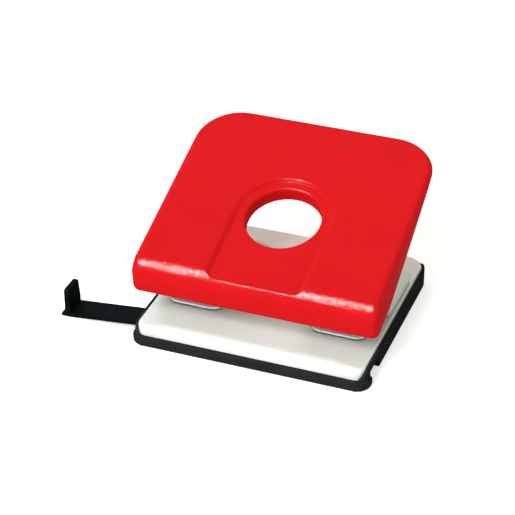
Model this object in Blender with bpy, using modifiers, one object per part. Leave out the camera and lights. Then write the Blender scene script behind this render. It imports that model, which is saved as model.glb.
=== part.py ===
"""Two-hole desk punch, modelled piece by piece at real size.

Frame: metres, +X to the right of someone feeding paper in, +Y to the rear, +Z up.
The origin lies on the table under the middle of the base.
"""

import math

import bmesh
import bpy
from mathutils import Matrix, Vector

MM = 0.001

# Paper and punching
HOLE_SPACING = 80.0 * MM
HOLE_MARGIN = 12.0 * MM
PAPER_GAP = 3.0 * MM
PIN_RADIUS = 2.75 * MM
DIE_CLEARANCE = 0.05 * MM

# Fits between pieces
FIT_GAP = 0.3 * MM
SEAT_GAP = 0.2 * MM
RUNNING_GAP = 0.06 * MM
OVERRUN = 5.0 * MM

# Chip tray
BASE_WIDTH = 128.4 * MM
BASE_DEPTH = 118.6 * MM
BASE_FRONT_CORNER = 7.0 * MM
BASE_REAR_CORNER = 12.5 * MM
TRAY_WALL = 1.5 * MM
TRAY_FLOOR = 1.5 * MM
TRAY_FRONT_HEIGHT = 5.8 * MM
RIM_DROP = 0.8 * MM
REAR_RIM_DROP = 2.4 * MM
REAR_RIM_REACH = 3.0 * MM
BUMPER_SIDE = 1.4 * MM
BUMPER_FRONT = 0.3 * MM
BUMPER_HEIGHT = 5.0 * MM
BUMPER_CORNER = 7.5 * MM
BUMPER_ROUND = 1.2 * MM
CHANNEL_ROOF = 1.2 * MM
LEDGE_LENGTH = 9.0 * MM
LEDGE_REACH = 1.3 * MM
LEDGE_THICKNESS = 1.2 * MM
LEDGE_COUNT = 3
LEDGE_FIRST_X = -14.0 * MM
LEDGE_END_GAP = 10.2 * MM

# Base plate
PLATE_TOP = 11.7 * MM
PLATE_SHEET = 1.5 * MM
PLATE_ROLL = 7.0 * MM
PLATE_EDGE_ROUND = 1.2 * MM
PLATE_SKIRT = 3.0 * MM
CHIP_HOLE_RADIUS = 4.2 * MM

# Paper guide
GUIDE_WIDTH = 14.2 * MM
GUIDE_THICKNESS = 2.4 * MM
GUIDE_SIDE_GAP = 0.4 * MM
GUIDE_FRONT_SETBACK = 11.0 * MM
GUIDE_HEIGHT = 4.2 * MM
GUIDE_LENGTH = 150.0 * MM
GUIDE_STOP_X = 105.0 * MM
GUIDE_STOP_THICKNESS = 2.9 * MM
GUIDE_STOP_SLANT = 1.8 * MM
GUIDE_STOP_ROUND = 1.0 * MM
GUIDE_STOP_TOP = 17.3 * MM
GUIDE_FOOT_REACH = 2.2 * MM
GUIDE_FOOT_THICKNESS = 1.6 * MM
GUIDE_FOOT_CLEARANCE = 0.4 * MM
GUIDE_EDGE_ROUND = 0.4 * MM

# Punch frames
FRAME_SHEET = 2.0 * MM
FRAME_BEND = 1.0 * MM
FRAME_INBOARD = 20.0 * MM
FRAME_ROOM_SHARE = 0.9375
PIN_SETBACK = 42.3 * MM
TAB_REACH = 15.0 * MM
TAB_WIDTH = 30.6 * MM
TAB_CORNER = 6.0 * MM
TAB_DEPTH = 9.0 * MM
EAR_REACH = 50.0 * MM
EAR_HEEL = 2.6 * MM
EAR_HEEL_ROUND = 3.0 * MM
EAR_SHOULDER_BACK = 29.0 * MM
EAR_SHOULDER_HEIGHT = 21.0 * MM
EAR_SHOULDER_ROUND = 9.0 * MM
EAR_BOSS_RADIUS = 5.5 * MM
THROAT_ROUND = 1.2 * MM

# Pin guides
GUIDE_PLATE_SHEET = 2.0 * MM
GUIDE_PLATE_FRONT = 10.0 * MM
GUIDE_PLATE_BACK = 16.0 * MM
GUIDE_PLATE_BEND = 0.8 * MM
GUIDE_FLANGE_HEIGHT = 9.0 * MM
GUIDE_FLANGE_FRONT = 2.0 * MM
GUIDE_COLLAR_RADIUS = 4.2 * MM
GUIDE_COLLAR_HEIGHT = 3.0 * MM
EAR_RIVET_BACK = 8.0 * MM
EAR_RIVET_RISE = 5.2 * MM
EAR_RIVET_RADIUS = 1.5 * MM
EAR_RIVET_HEAD_RADIUS = 2.7 * MM
EAR_RIVET_HEAD_HEIGHT = 1.0 * MM

# Rivets through the frame foot
RIVET_RADIUS = 2.0 * MM
RIVET_HEAD_RADIUS = 3.6 * MM
RIVET_HEAD_HEIGHT = 1.4 * MM
RIVET_BACK_FIRST = 24.0 * MM
RIVET_BACK_SECOND = 38.0 * MM
RIVET_SIDE = 11.0 * MM
RIVET_INSET = 10.0 * MM

# Pivot
PIVOT_ARM = 13.0 * MM
PIVOT_RISE = 26.3 * MM
ROD_RADIUS = 2.5 * MM
ROD_PROUD = 1.8 * MM
ROD_COVER_GAP = 0.7 * MM
CLIP_THICKNESS = 0.8 * MM
CLIP_RING = 2.2 * MM
CLIP_GROOVE_DEPTH = 0.5 * MM
CLIP_OPENING = math.radians(70.0)

# Punch pins and their springs
PIN_TIP_INSET = 0.5 * MM
PIN_TIP_HOLLOW = 0.7 * MM
PIN_DOME_RADIUS = 7.0 * MM
WASHER_RADIUS = 6.5 * MM
WASHER_THICKNESS = 1.0 * MM
WASHER_BELOW_TOP = 5.0 * MM
SPRING_OUTER_RADIUS = 6.0 * MM
SPRING_WIRE = 1.2 * MM
SPRING_TURNS = 7
SPRING_POINTS = 10
SPRING_END_RISE = 0.75

# Lever: places are measured from the pivot, along the sloping top
LEVER_PITCH = math.radians(18.0)
COVER_WIDTH = 134.2 * MM
COVER_REAR = 101.9 * MM
COVER_FRONT = 19.8 * MM
COVER_TOP = 13.5 * MM
COVER_WALL = 2.5 * MM
COVER_LIP = 24.8 * MM
COVER_REAR_EDGE = 3.0 * MM
COVER_TAPER = 24.0 * MM
COVER_CURL = 10.0 * MM
COVER_REAR_CORNER = 24.5 * MM
COVER_LOWER_CORNER = 5.2 * MM
COVER_FRONT_CORNER = 5.0 * MM
COVER_EDGE_ROUND = 2.0 * MM
FINGER_HOLE_RADIUS = 21.0 * MM
FINGER_HOLE_Y = 32.0 * MM
COLLAR_WALL = 2.2 * MM
COLLAR_DEPTH = 8.4 * MM
RECESS_RADIUS = 26.2 * MM
RECESS_DEPTH = 1.4 * MM
RECESS_CORNER = 3.5 * MM
RIB_THICKNESS = 1.6 * MM
RIB_HEIGHT = 2.0 * MM
RIB_X = 44.0 * MM
RIB_START = 30.0 * MM
RIB_END = 72.0 * MM
CROSS_RIB_GAP = 4.6 * MM

# Pressure bar under the cover
BAR_SHEET = 2.0 * MM
BAR_BEND = 1.0 * MM
BAR_PRESS_HEIGHT = 6.5 * MM
BAR_FRONT = 14.0 * MM
BAR_BACK = 20.0 * MM
BAR_SIDE_GAP = 0.5 * MM
BAR_LUG_RADIUS = 5.5 * MM
BAR_COLLAR_GAP = 1.2 * MM
BOSS_RADIUS = 3.5 * MM
SCREW_RADIUS = 1.5 * MM
SCREW_HEAD_RADIUS = 2.8 * MM
SCREW_HEAD_HEIGHT = 1.8 * MM
SCREW_LENGTH = 4.2 * MM
SCREW_INNER_X = 12.0 * MM
SCREW_INNER_Y = -8.0 * MM
SCREW_INSET = 9.0 * MM
SCREW_OUTER_Y = 13.0 * MM
SCREW_PIN_REACH = 12.0 * MM

# Facets of round shapes
ARC_STEP = math.radians(11.25)
SHARP_ANGLE = math.radians(50.0)
ROUND_STEPS = 32
SMALL_STEPS = 16
CURL_STEPS = 8
HOLE_STEPS = 64
DOME_STEPS = 4
MERGE_DISTANCE = 0.001 * MM

# Places worked out from the sizes
HALF_WIDTH = BASE_WIDTH / 2
FRONT_Y = -BASE_DEPTH / 2
REAR_Y = BASE_DEPTH / 2
RIM_TOP = PLATE_TOP - RIM_DROP
PLATE_HALF = HALF_WIDTH - TRAY_WALL - FIT_GAP
PLATE_FRONT = FRONT_Y + TRAY_WALL + FIT_GAP
PLATE_REAR = REAR_Y - TRAY_WALL - FIT_GAP
PLATE_FRONT_CORNER = BASE_FRONT_CORNER - TRAY_WALL - FIT_GAP
PLATE_REAR_CORNER = BASE_REAR_CORNER - TRAY_WALL - FIT_GAP
ROLL_Y = PLATE_FRONT + PLATE_ROLL
PLATE_UNDER = PLATE_TOP - PLATE_SHEET
SKIRT_BOTTOM = PLATE_TOP - PLATE_SKIRT
HOLE_X = HOLE_SPACING / 2
PIN_Y = FRONT_Y + PIN_SETBACK
STOP_Y = PIN_Y + HOLE_MARGIN
PIVOT_Y = PIN_Y - PIVOT_ARM
PIVOT_Z = PLATE_TOP + PIVOT_RISE
FOOT_BOTTOM = PLATE_TOP + SEAT_GAP
FOOT_TOP = FOOT_BOTTOM + FRAME_SHEET
THROAT_TOP = FOOT_TOP + PAPER_GAP
GUIDE_PLATE_TOP = THROAT_TOP + GUIDE_PLATE_SHEET
LEDGE_PITCH = (HALF_WIDTH - LEDGE_END_GAP - LEDGE_FIRST_X) / (LEDGE_COUNT - 1)
COVER_INNER = COVER_WIDTH / 2 - COVER_WALL
CROSS_RIB_HALF = COVER_INNER - CROSS_RIB_GAP
CHANNEL_FRONT = FRONT_Y + GUIDE_FRONT_SETBACK - GUIDE_SIDE_GAP
CHANNEL_BACK = CHANNEL_FRONT + GUIDE_WIDTH + 2 * GUIDE_SIDE_GAP
CHANNEL_TOP = GUIDE_HEIGHT + GUIDE_THICKNESS + FIT_GAP
COVER_UNDER = COVER_TOP - COVER_WALL
BAR_TOP = BAR_PRESS_HEIGHT + BAR_SHEET

# The outer ears use the room on the plate, but the rod's ends stay inside the cover
FRAME_OUTBOARD = min(
    FRAME_ROOM_SHARE * (PLATE_HALF - HOLE_X),
    COVER_INNER - ROD_PROUD - ROD_COVER_GAP - HOLE_X,
)
FRAME_INNER_X = HOLE_X - FRAME_INBOARD
FRAME_OUTER_X = HOLE_X + FRAME_OUTBOARD
ROD_HALF = FRAME_OUTER_X + ROD_PROUD
SCREW_OUTER_X = FRAME_OUTER_X - SCREW_INSET

# Pin top that keeps the seat gap under the sloping pressure bar
PIN_TOP = (
    PIVOT_Z
    + PIVOT_ARM * math.tan(LEVER_PITCH)
    + (BAR_PRESS_HEIGHT - FIT_GAP - PIN_DOME_RADIUS) / math.cos(LEVER_PITCH)
    + PIN_DOME_RADIUS
)
PIN_TIP = THROAT_TOP + PIN_TIP_INSET
WASHER_TOP = PIN_TOP - WASHER_BELOW_TOP
CLIP_BOTTOM = WASHER_TOP + SEAT_GAP / 2


def clear_scene():
    for item in list(bpy.data.objects):
        bpy.data.objects.remove(item, do_unlink=True)


def new_collection(name):
    group = bpy.data.collections.new(name)
    bpy.context.scene.collection.children.link(group)
    return group


def new_material(name, colour, roughness, metallic):
    finish = bpy.data.materials.new(name)
    finish.use_nodes = True
    shader = finish.node_tree.nodes["Principled BSDF"]
    shader.inputs["Base Color"].default_value = (*colour, 1.0)
    shader.inputs["Roughness"].default_value = roughness
    shader.inputs["Metallic"].default_value = metallic
    return finish


clear_scene()
PARTS = new_collection("two_hole_punch")
CUTTERS = new_collection("cutters")
RED_PLASTIC = new_material("red_plastic", (0.76, 0.02, 0.025), 0.42, 0.0)
WHITE_PAINT = new_material("white_paint", (0.80, 0.80, 0.77), 0.38, 0.0)
BLACK_PLASTIC = new_material("black_plastic", (0.02, 0.022, 0.024), 0.45, 0.0)
BRIGHT_STEEL = new_material("bright_steel", (0.60, 0.61, 0.62), 0.30, 1.0)
ZINC_STEEL = new_material("zinc_steel", (0.66, 0.66, 0.62), 0.36, 1.0)
SPRING_STEEL = new_material("spring_steel", (0.34, 0.34, 0.35), 0.33, 1.0)


def arc(centre, radius, start, end, step=ARC_STEP):
    """Points of an arc, both ends included."""
    count = max(1, round(abs(end - start) / step))
    angles = [start + (end - start) * index / count for index in range(count + 1)]
    return [(centre[0] + radius * math.cos(a), centre[1] + radius * math.sin(a)) for a in angles]


def circle(centre, radius, steps=ROUND_STEPS):
    return arc(centre, radius, 0.0, math.tau, math.tau / steps)[:-1]


def outline(corners):
    """Closed outline through (x, y, radius) corners, each rounded by its radius."""
    points = []
    for index, (x, y, radius) in enumerate(corners):
        corner = Vector((x, y))
        before = Vector(corners[index - 1][:2]) - corner
        after = Vector(corners[(index + 1) % len(corners)][:2]) - corner
        if radius <= 0.0:
            points.append((x, y))
            continue
        half = before.angle(after) / 2
        reach = radius / math.tan(half)
        inward = (before.normalized() + after.normalized()).normalized()
        middle = corner + inward * (radius / math.sin(half))
        first = corner + before.normalized() * reach - middle
        last = corner + after.normalized() * reach - middle
        start = math.atan2(first.y, first.x)
        sweep = math.remainder(math.atan2(last.y, last.x) - start, math.tau)
        points.extend(arc(middle, radius, start, start + sweep))
    return points


def rectangle(low_x, low_y, high_x, high_y, front=0.0, back=0.0):
    """Rounded rectangle: one radius for the low side's corners, one for the high side's."""
    return outline([
        (low_x, low_y, front),
        (high_x, low_y, front),
        (high_x, high_y, back),
        (low_x, high_y, back),
    ])


AXIS_TURNS = {
    "X": Matrix(((0, 0, 1, 0), (1, 0, 0, 0), (0, 1, 0, 0), (0, 0, 0, 1))),
    "Y": Matrix(((1, 0, 0, 0), (0, 0, -1, 0), (0, 1, 0, 0), (0, 0, 0, 1))),
    "Z": Matrix.Identity(4),
}


def place(item, group, material, parent):
    group.objects.link(item)
    if material:
        item.data.materials.append(material)
    if parent:
        item.parent = parent
    if group is CUTTERS:
        item.hide_render = True
        item.display_type = "WIRE"
    return item


def slab(name, loops, axis, low, high, group=None, material=None, parent=None):
    """Flat outline with holes, as thick as low to high along an axis.

    Outlines are (y, z) for X, (x, z) for Y and (x, y) for Z.
    """
    group = group or CUTTERS
    curve = bpy.data.curves.new(name, "CURVE")
    curve.dimensions = "2D"
    curve.fill_mode = "BOTH"
    curve.extrude = (high - low) / 2
    for loop in loops:
        spline = curve.splines.new("POLY")
        spline.points.add(len(loop) - 1)
        for point, (x, y) in zip(spline.points, loop):
            point.co = (x, y, 0.0, 1.0)
        spline.use_cyclic_u = True
    flat = bpy.data.objects.new(name, curve)
    bpy.context.scene.collection.objects.link(flat)
    seen = flat.evaluated_get(bpy.context.evaluated_depsgraph_get())
    mesh = bpy.data.meshes.new_from_object(seen)
    bpy.data.objects.remove(flat, do_unlink=True)
    bpy.data.curves.remove(curve)
    shape = bmesh.new()
    shape.from_mesh(mesh)
    bmesh.ops.remove_doubles(shape, verts=shape.verts, dist=MERGE_DISTANCE)
    middle = {"X": Vector((1, 0, 0)), "Y": Vector((0, 1, 0)), "Z": Vector((0, 0, 1))}[axis] * (low + high) / 2
    bmesh.ops.transform(shape, matrix=Matrix.Translation(middle) @ AXIS_TURNS[axis], verts=shape.verts)
    bmesh.ops.recalc_face_normals(shape, faces=shape.faces)
    shape.to_mesh(mesh)
    shape.free()
    mesh.name = name
    mesh.materials.clear()
    return place(bpy.data.objects.new(name, mesh), group, material, parent)


def turned(name, profile, location, turn=None, group=None, material=None, parent=None, steps=ROUND_STEPS):
    """Round piece: a (radius, height) profile, down its outer side, turned about its own axis."""
    group = group or CUTTERS
    mesh = bpy.data.meshes.new(name)
    points = [(radius, 0.0, height) for radius, height in profile]
    mesh.from_pydata(points, [(i, i + 1) for i in range(len(points) - 1)], [])
    item = place(bpy.data.objects.new(name, mesh), group, material, parent)
    item.location = location
    item.rotation_euler = turn or (0.0, 0.0, 0.0)
    screw = item.modifiers.new("turn", "SCREW")
    screw.steps = steps
    screw.render_steps = steps
    screw.use_merge_vertices = True
    screw.merge_threshold = MERGE_DISTANCE
    screw.use_smooth_shade = True
    return item


def cylinder(name, radius, low, high, location, parent=None, steps=ROUND_STEPS):
    profile = [(0.0, high), (radius, high), (radius, low), (0.0, low)]
    return turned(name, profile, location, parent=parent, steps=steps)


def combine(item, tool, operation):
    change = item.modifiers.new(tool.name, "BOOLEAN")
    change.object = tool
    change.operation = operation
    change.solver = "EXACT"
    return item


def cut(item, *tools):
    for tool in tools:
        combine(item, tool, "DIFFERENCE")
    return item


def join(item, *tools):
    for tool in tools:
        combine(item, tool, "UNION")
    return item


def keep_inside(item, *tools):
    for tool in tools:
        combine(item, tool, "INTERSECT")
    return item


def round_edges(item, width, segments=3, chosen=None):
    """Round the sharp edges, or only those whose two ends pass the chosen test."""
    bevel = item.modifiers.new("rounded_edges", "BEVEL")
    bevel.width = width
    bevel.segments = segments
    bevel.use_clamp_overlap = False
    bevel.limit_method = "ANGLE"
    bevel.angle_limit = SHARP_ANGLE
    if chosen:
        bevel.limit_method = "WEIGHT"
        weights = item.data.attributes.new("bevel_weight_edge", "FLOAT", "EDGE")
        for edge in item.data.edges:
            ends = [item.data.vertices[index].co for index in edge.vertices]
            weights.data[edge.index].value = float(all(chosen(end) for end in ends))
    return item


def weld(item):
    """Merge the corners that a boolean leaves on top of each other."""
    change = item.modifiers.new("weld", "WELD")
    change.merge_threshold = MERGE_DISTANCE
    return item


def side_name(side):
    return "right" if side > 0 else "left"


def mirrored(loop, side):
    """Outline with its first coordinate on the given side."""
    return [(side * x, y) for x, y in loop]


def front_roll(top, low):
    """Profile of the pressed front edge, from the flat top down to the given height."""
    centre = (ROLL_Y, top - PLATE_ROLL)
    end = math.pi - math.asin((low - centre[1]) / PLATE_ROLL)
    return arc(centre, PLATE_ROLL, math.pi / 2, end)


def make_chip_tray():
    """Black moulded tray: it wraps the plate, catches the chips and carries the paper guide."""
    profile = front_roll(RIM_TOP, TRAY_FRONT_HEIGHT)
    profile += [
        (FRONT_Y, TRAY_FRONT_HEIGHT),
        (FRONT_Y, 0.0),
        (REAR_Y, 0.0),
        (REAR_Y, PLATE_TOP - REAR_RIM_DROP),
        (REAR_Y - REAR_RIM_REACH, PLATE_TOP - REAR_RIM_DROP),
        (REAR_Y - 2 * REAR_RIM_REACH, RIM_TOP),
    ]
    tray = slab("chip_tray", [profile], "X", -HALF_WIDTH, HALF_WIDTH, PARTS, BLACK_PLASTIC)
    plan = rectangle(-HALF_WIDTH, FRONT_Y, HALF_WIDTH, REAR_Y, BASE_FRONT_CORNER, BASE_REAR_CORNER)
    keep_inside(tray, slab("tray_plan", [plan], "Z", -OVERRUN, PLATE_TOP + OVERRUN))

    side = HALF_WIDTH + BUMPER_SIDE
    nose = rectangle(-side, FRONT_Y - BUMPER_FRONT, side, CHANNEL_FRONT - FIT_GAP, BUMPER_CORNER)
    bumper = slab("tray_bumper", [nose], "Z", 0.0, BUMPER_HEIGHT)
    round_edges(bumper, BUMPER_ROUND)
    join(tray, bumper)

    inner = HALF_WIDTH - TRAY_WALL
    front_inner = FRONT_Y + TRAY_WALL
    rear_inner = REAR_Y - TRAY_WALL
    ridge_front = CHANNEL_FRONT - TRAY_WALL
    ridge_back = CHANNEL_BACK + TRAY_WALL
    roof = CHANNEL_TOP + CHANNEL_ROOF
    high = PLATE_TOP + OVERRUN
    pockets = [
        (front_inner, high),
        (front_inner, TRAY_FLOOR),
        (ridge_front, TRAY_FLOOR),
        (ridge_front, roof),
        (ridge_back, roof),
        (ridge_back, TRAY_FLOOR),
        (rear_inner, TRAY_FLOOR),
        (rear_inner, high),
    ]
    hollow = slab("tray_hollow", [pockets], "X", -inner, inner)
    front_corner = BASE_FRONT_CORNER - TRAY_WALL
    rear_corner = BASE_REAR_CORNER - TRAY_WALL
    inner_plan = rectangle(-inner, front_inner, inner, rear_inner, front_corner, rear_corner)
    keep_inside(hollow, slab("tray_hollow_plan", [inner_plan], "Z", -OVERRUN, high + OVERRUN))
    cut(tray, hollow)

    channel = rectangle(CHANNEL_FRONT, -OVERRUN, CHANNEL_BACK, CHANNEL_TOP)
    cut(tray, slab("guide_channel", [channel], "X", -side - OVERRUN, side + OVERRUN))

    ledge_top = GUIDE_HEIGHT - FIT_GAP
    ledge_low = ledge_top - LEDGE_THICKNESS
    front_ledge = rectangle(CHANNEL_FRONT - TRAY_WALL / 2, ledge_low, CHANNEL_FRONT + LEDGE_REACH, ledge_top)
    back_ledge = rectangle(CHANNEL_BACK - LEDGE_REACH, ledge_low, CHANNEL_BACK + TRAY_WALL / 2, ledge_top)
    for index in range(LEDGE_COUNT):
        start = LEDGE_FIRST_X + index * LEDGE_PITCH - LEDGE_LENGTH / 2
        end = start + LEDGE_LENGTH
        join(tray, slab(f"front_ledge_{index}", [front_ledge], "X", start, end))
        join(tray, slab(f"back_ledge_{index}", [back_ledge], "X", start, end))
    return tray


def rivet_places(side):
    """Rivet centres on one frame's foot."""
    return [
        (side * (HOLE_X - RIVET_SIDE), PIN_Y + RIVET_BACK_FIRST),
        (side * (FRAME_OUTER_X - RIVET_INSET), PIN_Y + RIVET_BACK_FIRST),
        (side * HOLE_X, PIN_Y + RIVET_BACK_SECOND),
    ]


def rivet_holes(name, side, low, high):
    radius = RIVET_RADIUS + RUNNING_GAP
    return slab(name, [circle(centre, radius) for centre in rivet_places(side)], "Z", low, high)


def make_base_plate():
    """White pressed-steel plate: its front rolls down, its other edges turn down a little."""
    deep = -OVERRUN
    corners = (PLATE_FRONT_CORNER, PLATE_REAR_CORNER)
    plan = rectangle(-PLATE_HALF, PLATE_FRONT, PLATE_HALF, PLATE_REAR, *corners)
    plate = slab("base_plate", [plan], "Z", deep, PLATE_TOP, PARTS, WHITE_PAINT)
    round_edges(plate, PLATE_EDGE_ROUND)
    roll_centre = PLATE_TOP - PLATE_ROLL
    ahead = front_roll(PLATE_TOP, roll_centre)
    ahead += [(PLATE_FRONT - OVERRUN, roll_centre), (PLATE_FRONT - OVERRUN, PLATE_TOP + OVERRUN)]
    ahead += [(ROLL_Y, PLATE_TOP + OVERRUN)]
    cut(plate, slab("ahead_of_roll", [ahead], "X", -HALF_WIDTH, HALF_WIDTH))

    radius = PLATE_ROLL - PLATE_SHEET
    inner = PLATE_HALF - PLATE_SHEET
    rear = PLATE_REAR - PLATE_SHEET
    cavity = arc((ROLL_Y, roll_centre), radius, math.pi / 2, math.pi)
    cavity += [(ROLL_Y - radius, 2 * deep), (rear, 2 * deep), (rear, PLATE_UNDER)]
    hollow = slab("plate_hollow", [cavity], "X", -inner, inner)
    corners = (PLATE_FRONT_CORNER - PLATE_SHEET, PLATE_REAR_CORNER - PLATE_SHEET)
    inner_plan = rectangle(-inner, PLATE_FRONT + PLATE_SHEET, inner, rear, *corners)
    keep_inside(hollow, slab("plate_hollow_plan", [inner_plan], "Z", 3 * deep, PLATE_TOP + OVERRUN))
    cut(plate, hollow)

    front_low = PLATE_TOP - PLATE_ROLL + SEAT_GAP
    below = [
        (PLATE_FRONT - OVERRUN, front_low),
        (PLATE_FRONT - OVERRUN, 2 * deep),
        (PLATE_REAR + OVERRUN, 2 * deep),
        (PLATE_REAR + OVERRUN, SKIRT_BOTTOM),
        (CHANNEL_FRONT - TRAY_WALL - FIT_GAP, SKIRT_BOTTOM),
        (CHANNEL_FRONT - TRAY_WALL - FIT_GAP, front_low),
    ]
    cut(plate, slab("below_skirt", [below], "X", -HALF_WIDTH - OVERRUN, HALF_WIDTH + OVERRUN))

    holes = [circle((side * HOLE_X, PIN_Y), CHIP_HOLE_RADIUS) for side in (-1, 1)]
    cut(plate, slab("chip_holes", holes, "Z", PLATE_UNDER - OVERRUN, PLATE_TOP + OVERRUN))
    for side in (-1, 1):
        name = f"{side_name(side)}_plate_rivet_holes"
        cut(plate, rivet_holes(name, side, PLATE_UNDER - OVERRUN, PLATE_TOP + OVERRUN))
    return plate


def folded_channel(low_x, high_x, base, top, sheet, bend):
    """Section of a sheet folded up at both ends, as (x, z)."""
    outer = bend + sheet
    return outline([
        (low_x, top, 0.0),
        (low_x, base, outer),
        (high_x, base, outer),
        (high_x, top, 0.0),
        (high_x - sheet, top, 0.0),
        (high_x - sheet, base + sheet, bend),
        (low_x + sheet, base + sheet, bend),
        (low_x + sheet, top, 0.0),
    ])


def ear_profile():
    """Side outline of a frame, (y, z): foot, throat for the paper, and the ear up to the pivot."""
    front = PIVOT_Y - EAR_BOSS_RADIUS
    rear = PIN_Y + EAR_REACH
    shoulder = Vector((PIN_Y + EAR_SHOULDER_BACK, FOOT_BOTTOM + EAR_SHOULDER_HEIGHT))
    pivot = Vector((PIVOT_Y, PIVOT_Z))
    away = shoulder - pivot
    tangent = math.atan2(away.y, away.x) + math.acos(EAR_BOSS_RADIUS / away.length)
    boss = arc(pivot, EAR_BOSS_RADIUS, tangent, math.pi)
    chin = THROAT_TOP + EAR_BOSS_RADIUS
    points = outline([
        (boss[0][0], boss[0][1], 0.0),
        (shoulder.x, shoulder.y, EAR_SHOULDER_ROUND),
        (rear, FOOT_TOP + EAR_HEEL, EAR_HEEL_ROUND),
        (rear, FOOT_BOTTOM - OVERRUN, 0.0),
        (PIN_Y - TAB_REACH, FOOT_BOTTOM - OVERRUN, 0.0),
        (PIN_Y - TAB_REACH, FOOT_TOP, 0.0),
        (STOP_Y, FOOT_TOP, THROAT_ROUND),
        (STOP_Y, THROAT_TOP, THROAT_ROUND),
        (front + EAR_HEEL, THROAT_TOP, FRAME_BEND),
        (front, chin, EAR_BOSS_RADIUS),
        (front, PIVOT_Z, 0.0),
    ])
    return points[1:-1] + boss[::-1]


def make_punch_frame(side):
    """White steel frame folded up on both sides, with the paper throat cut into its ears."""
    name = f"{side_name(side)}_punch_frame"
    top = PIVOT_Z + EAR_BOSS_RADIUS + OVERRUN
    section = folded_channel(FRAME_INNER_X, FRAME_OUTER_X, FOOT_BOTTOM, top, FRAME_SHEET, FRAME_BEND)
    rear = PIN_Y + EAR_REACH
    front = PIVOT_Y - EAR_BOSS_RADIUS
    frame = slab(name, [mirrored(section, side)], "Y", front - OVERRUN, rear + OVERRUN, PARTS, WHITE_PAINT)
    ends = sorted((side * (FRAME_INNER_X - OVERRUN), side * (FRAME_OUTER_X + OVERRUN)))
    keep_inside(frame, slab(f"{name}_profile", [ear_profile()], "X", *ends))

    # The foot narrows to the tab in front of the throat's end
    half_tab = TAB_WIDTH / 2
    tab_front = PIN_Y - TAB_REACH
    tab_back = tab_front + TAB_DEPTH
    flat_in = FRAME_INNER_X + FRAME_SHEET + FRAME_BEND
    flat_out = FRAME_OUTER_X - FRAME_SHEET - FRAME_BEND
    wide = FRAME_OUTER_X + OVERRUN
    trim = outline([
        (HOLE_X - half_tab, tab_back, 0.0),
        (HOLE_X - half_tab, tab_front, TAB_CORNER),
        (HOLE_X + half_tab, tab_front, TAB_CORNER),
        (HOLE_X + half_tab, tab_back, 0.0),
        (flat_out, tab_back, 0.0),
        (flat_out, STOP_Y, 0.0),
        (wide, STOP_Y, 0.0),
        (wide, tab_front - OVERRUN, 0.0),
        (0.0, tab_front - OVERRUN, 0.0),
        (0.0, STOP_Y, 0.0),
        (flat_in, STOP_Y, 0.0),
        (flat_in, tab_back, 0.0),
    ])
    mid_throat = THROAT_TOP - PAPER_GAP / 2
    cut(frame, slab(f"{name}_trim", [mirrored(trim, side)], "Z", FOOT_BOTTOM - OVERRUN, mid_throat))

    die = circle((side * HOLE_X, PIN_Y), PIN_RADIUS + DIE_CLEARANCE)
    cut(frame, slab(f"{name}_die", [die], "Z", FOOT_BOTTOM - OVERRUN, mid_throat))
    cut(frame, rivet_holes(f"{name}_rivet_holes", side, FOOT_BOTTOM - OVERRUN, FOOT_TOP + OVERRUN))
    rod_hole = circle((PIVOT_Y, PIVOT_Z), ROD_RADIUS + RUNNING_GAP)
    cut(frame, slab(f"{name}_rod_hole", [rod_hole], "X", *ends))
    rivet_hole = circle(ear_rivet_place(), EAR_RIVET_RADIUS + RUNNING_GAP)
    cut(frame, slab(f"{name}_ear_rivet_hole", [rivet_hole], "X", *ends))
    return frame


def ear_rivet_place():
    """(y, z) of the rivet that holds a pin guide's flange to an ear."""
    return (PIN_Y + EAR_RIVET_BACK, GUIDE_PLATE_TOP + EAR_RIVET_RISE)


def make_guide_plate(side):
    """Pin guide over the throat: a plate with a drawn collar and two flanges riveted to the ears."""
    name = f"{side_name(side)}_guide_plate"
    low = FRAME_INNER_X + FRAME_SHEET + FIT_GAP
    high = FRAME_OUTER_X - FRAME_SHEET - FIT_GAP
    top = GUIDE_PLATE_TOP + GUIDE_FLANGE_HEIGHT
    section = folded_channel(low, high, THROAT_TOP, top, GUIDE_PLATE_SHEET, GUIDE_PLATE_BEND)
    front = PIN_Y - GUIDE_PLATE_FRONT
    back = PIN_Y + GUIDE_PLATE_BACK
    plate = slab(name, [mirrored(section, side)], "Y", front, back, PARTS, ZINC_STEEL)
    flange = PIN_Y + GUIDE_FLANGE_FRONT
    crown = top + OVERRUN
    sill = GUIDE_PLATE_TOP + GUIDE_PLATE_BEND + SEAT_GAP
    away = [(front - OVERRUN, sill), (flange, sill), (flange, crown), (front - OVERRUN, crown)]
    ends = sorted((side * (low - OVERRUN), side * (high + OVERRUN)))
    cut(plate, slab(f"{name}_flange_trim", [away], "X", *ends))
    here = (side * HOLE_X, PIN_Y, 0.0)
    collar_low = THROAT_TOP + GUIDE_PLATE_SHEET / 2
    collar_top = GUIDE_PLATE_TOP + GUIDE_COLLAR_HEIGHT
    join(plate, cylinder(f"{name}_collar", GUIDE_COLLAR_RADIUS, collar_low, collar_top, here))
    bore = PIN_RADIUS + RUNNING_GAP
    cut(plate, cylinder(f"{name}_bore", bore, THROAT_TOP - OVERRUN, collar_top + OVERRUN, here))
    rivet_hole = circle(ear_rivet_place(), EAR_RIVET_RADIUS + RUNNING_GAP)
    cut(plate, slab(f"{name}_rivet_hole", [rivet_hole], "X", *ends))
    return weld(plate)


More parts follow.
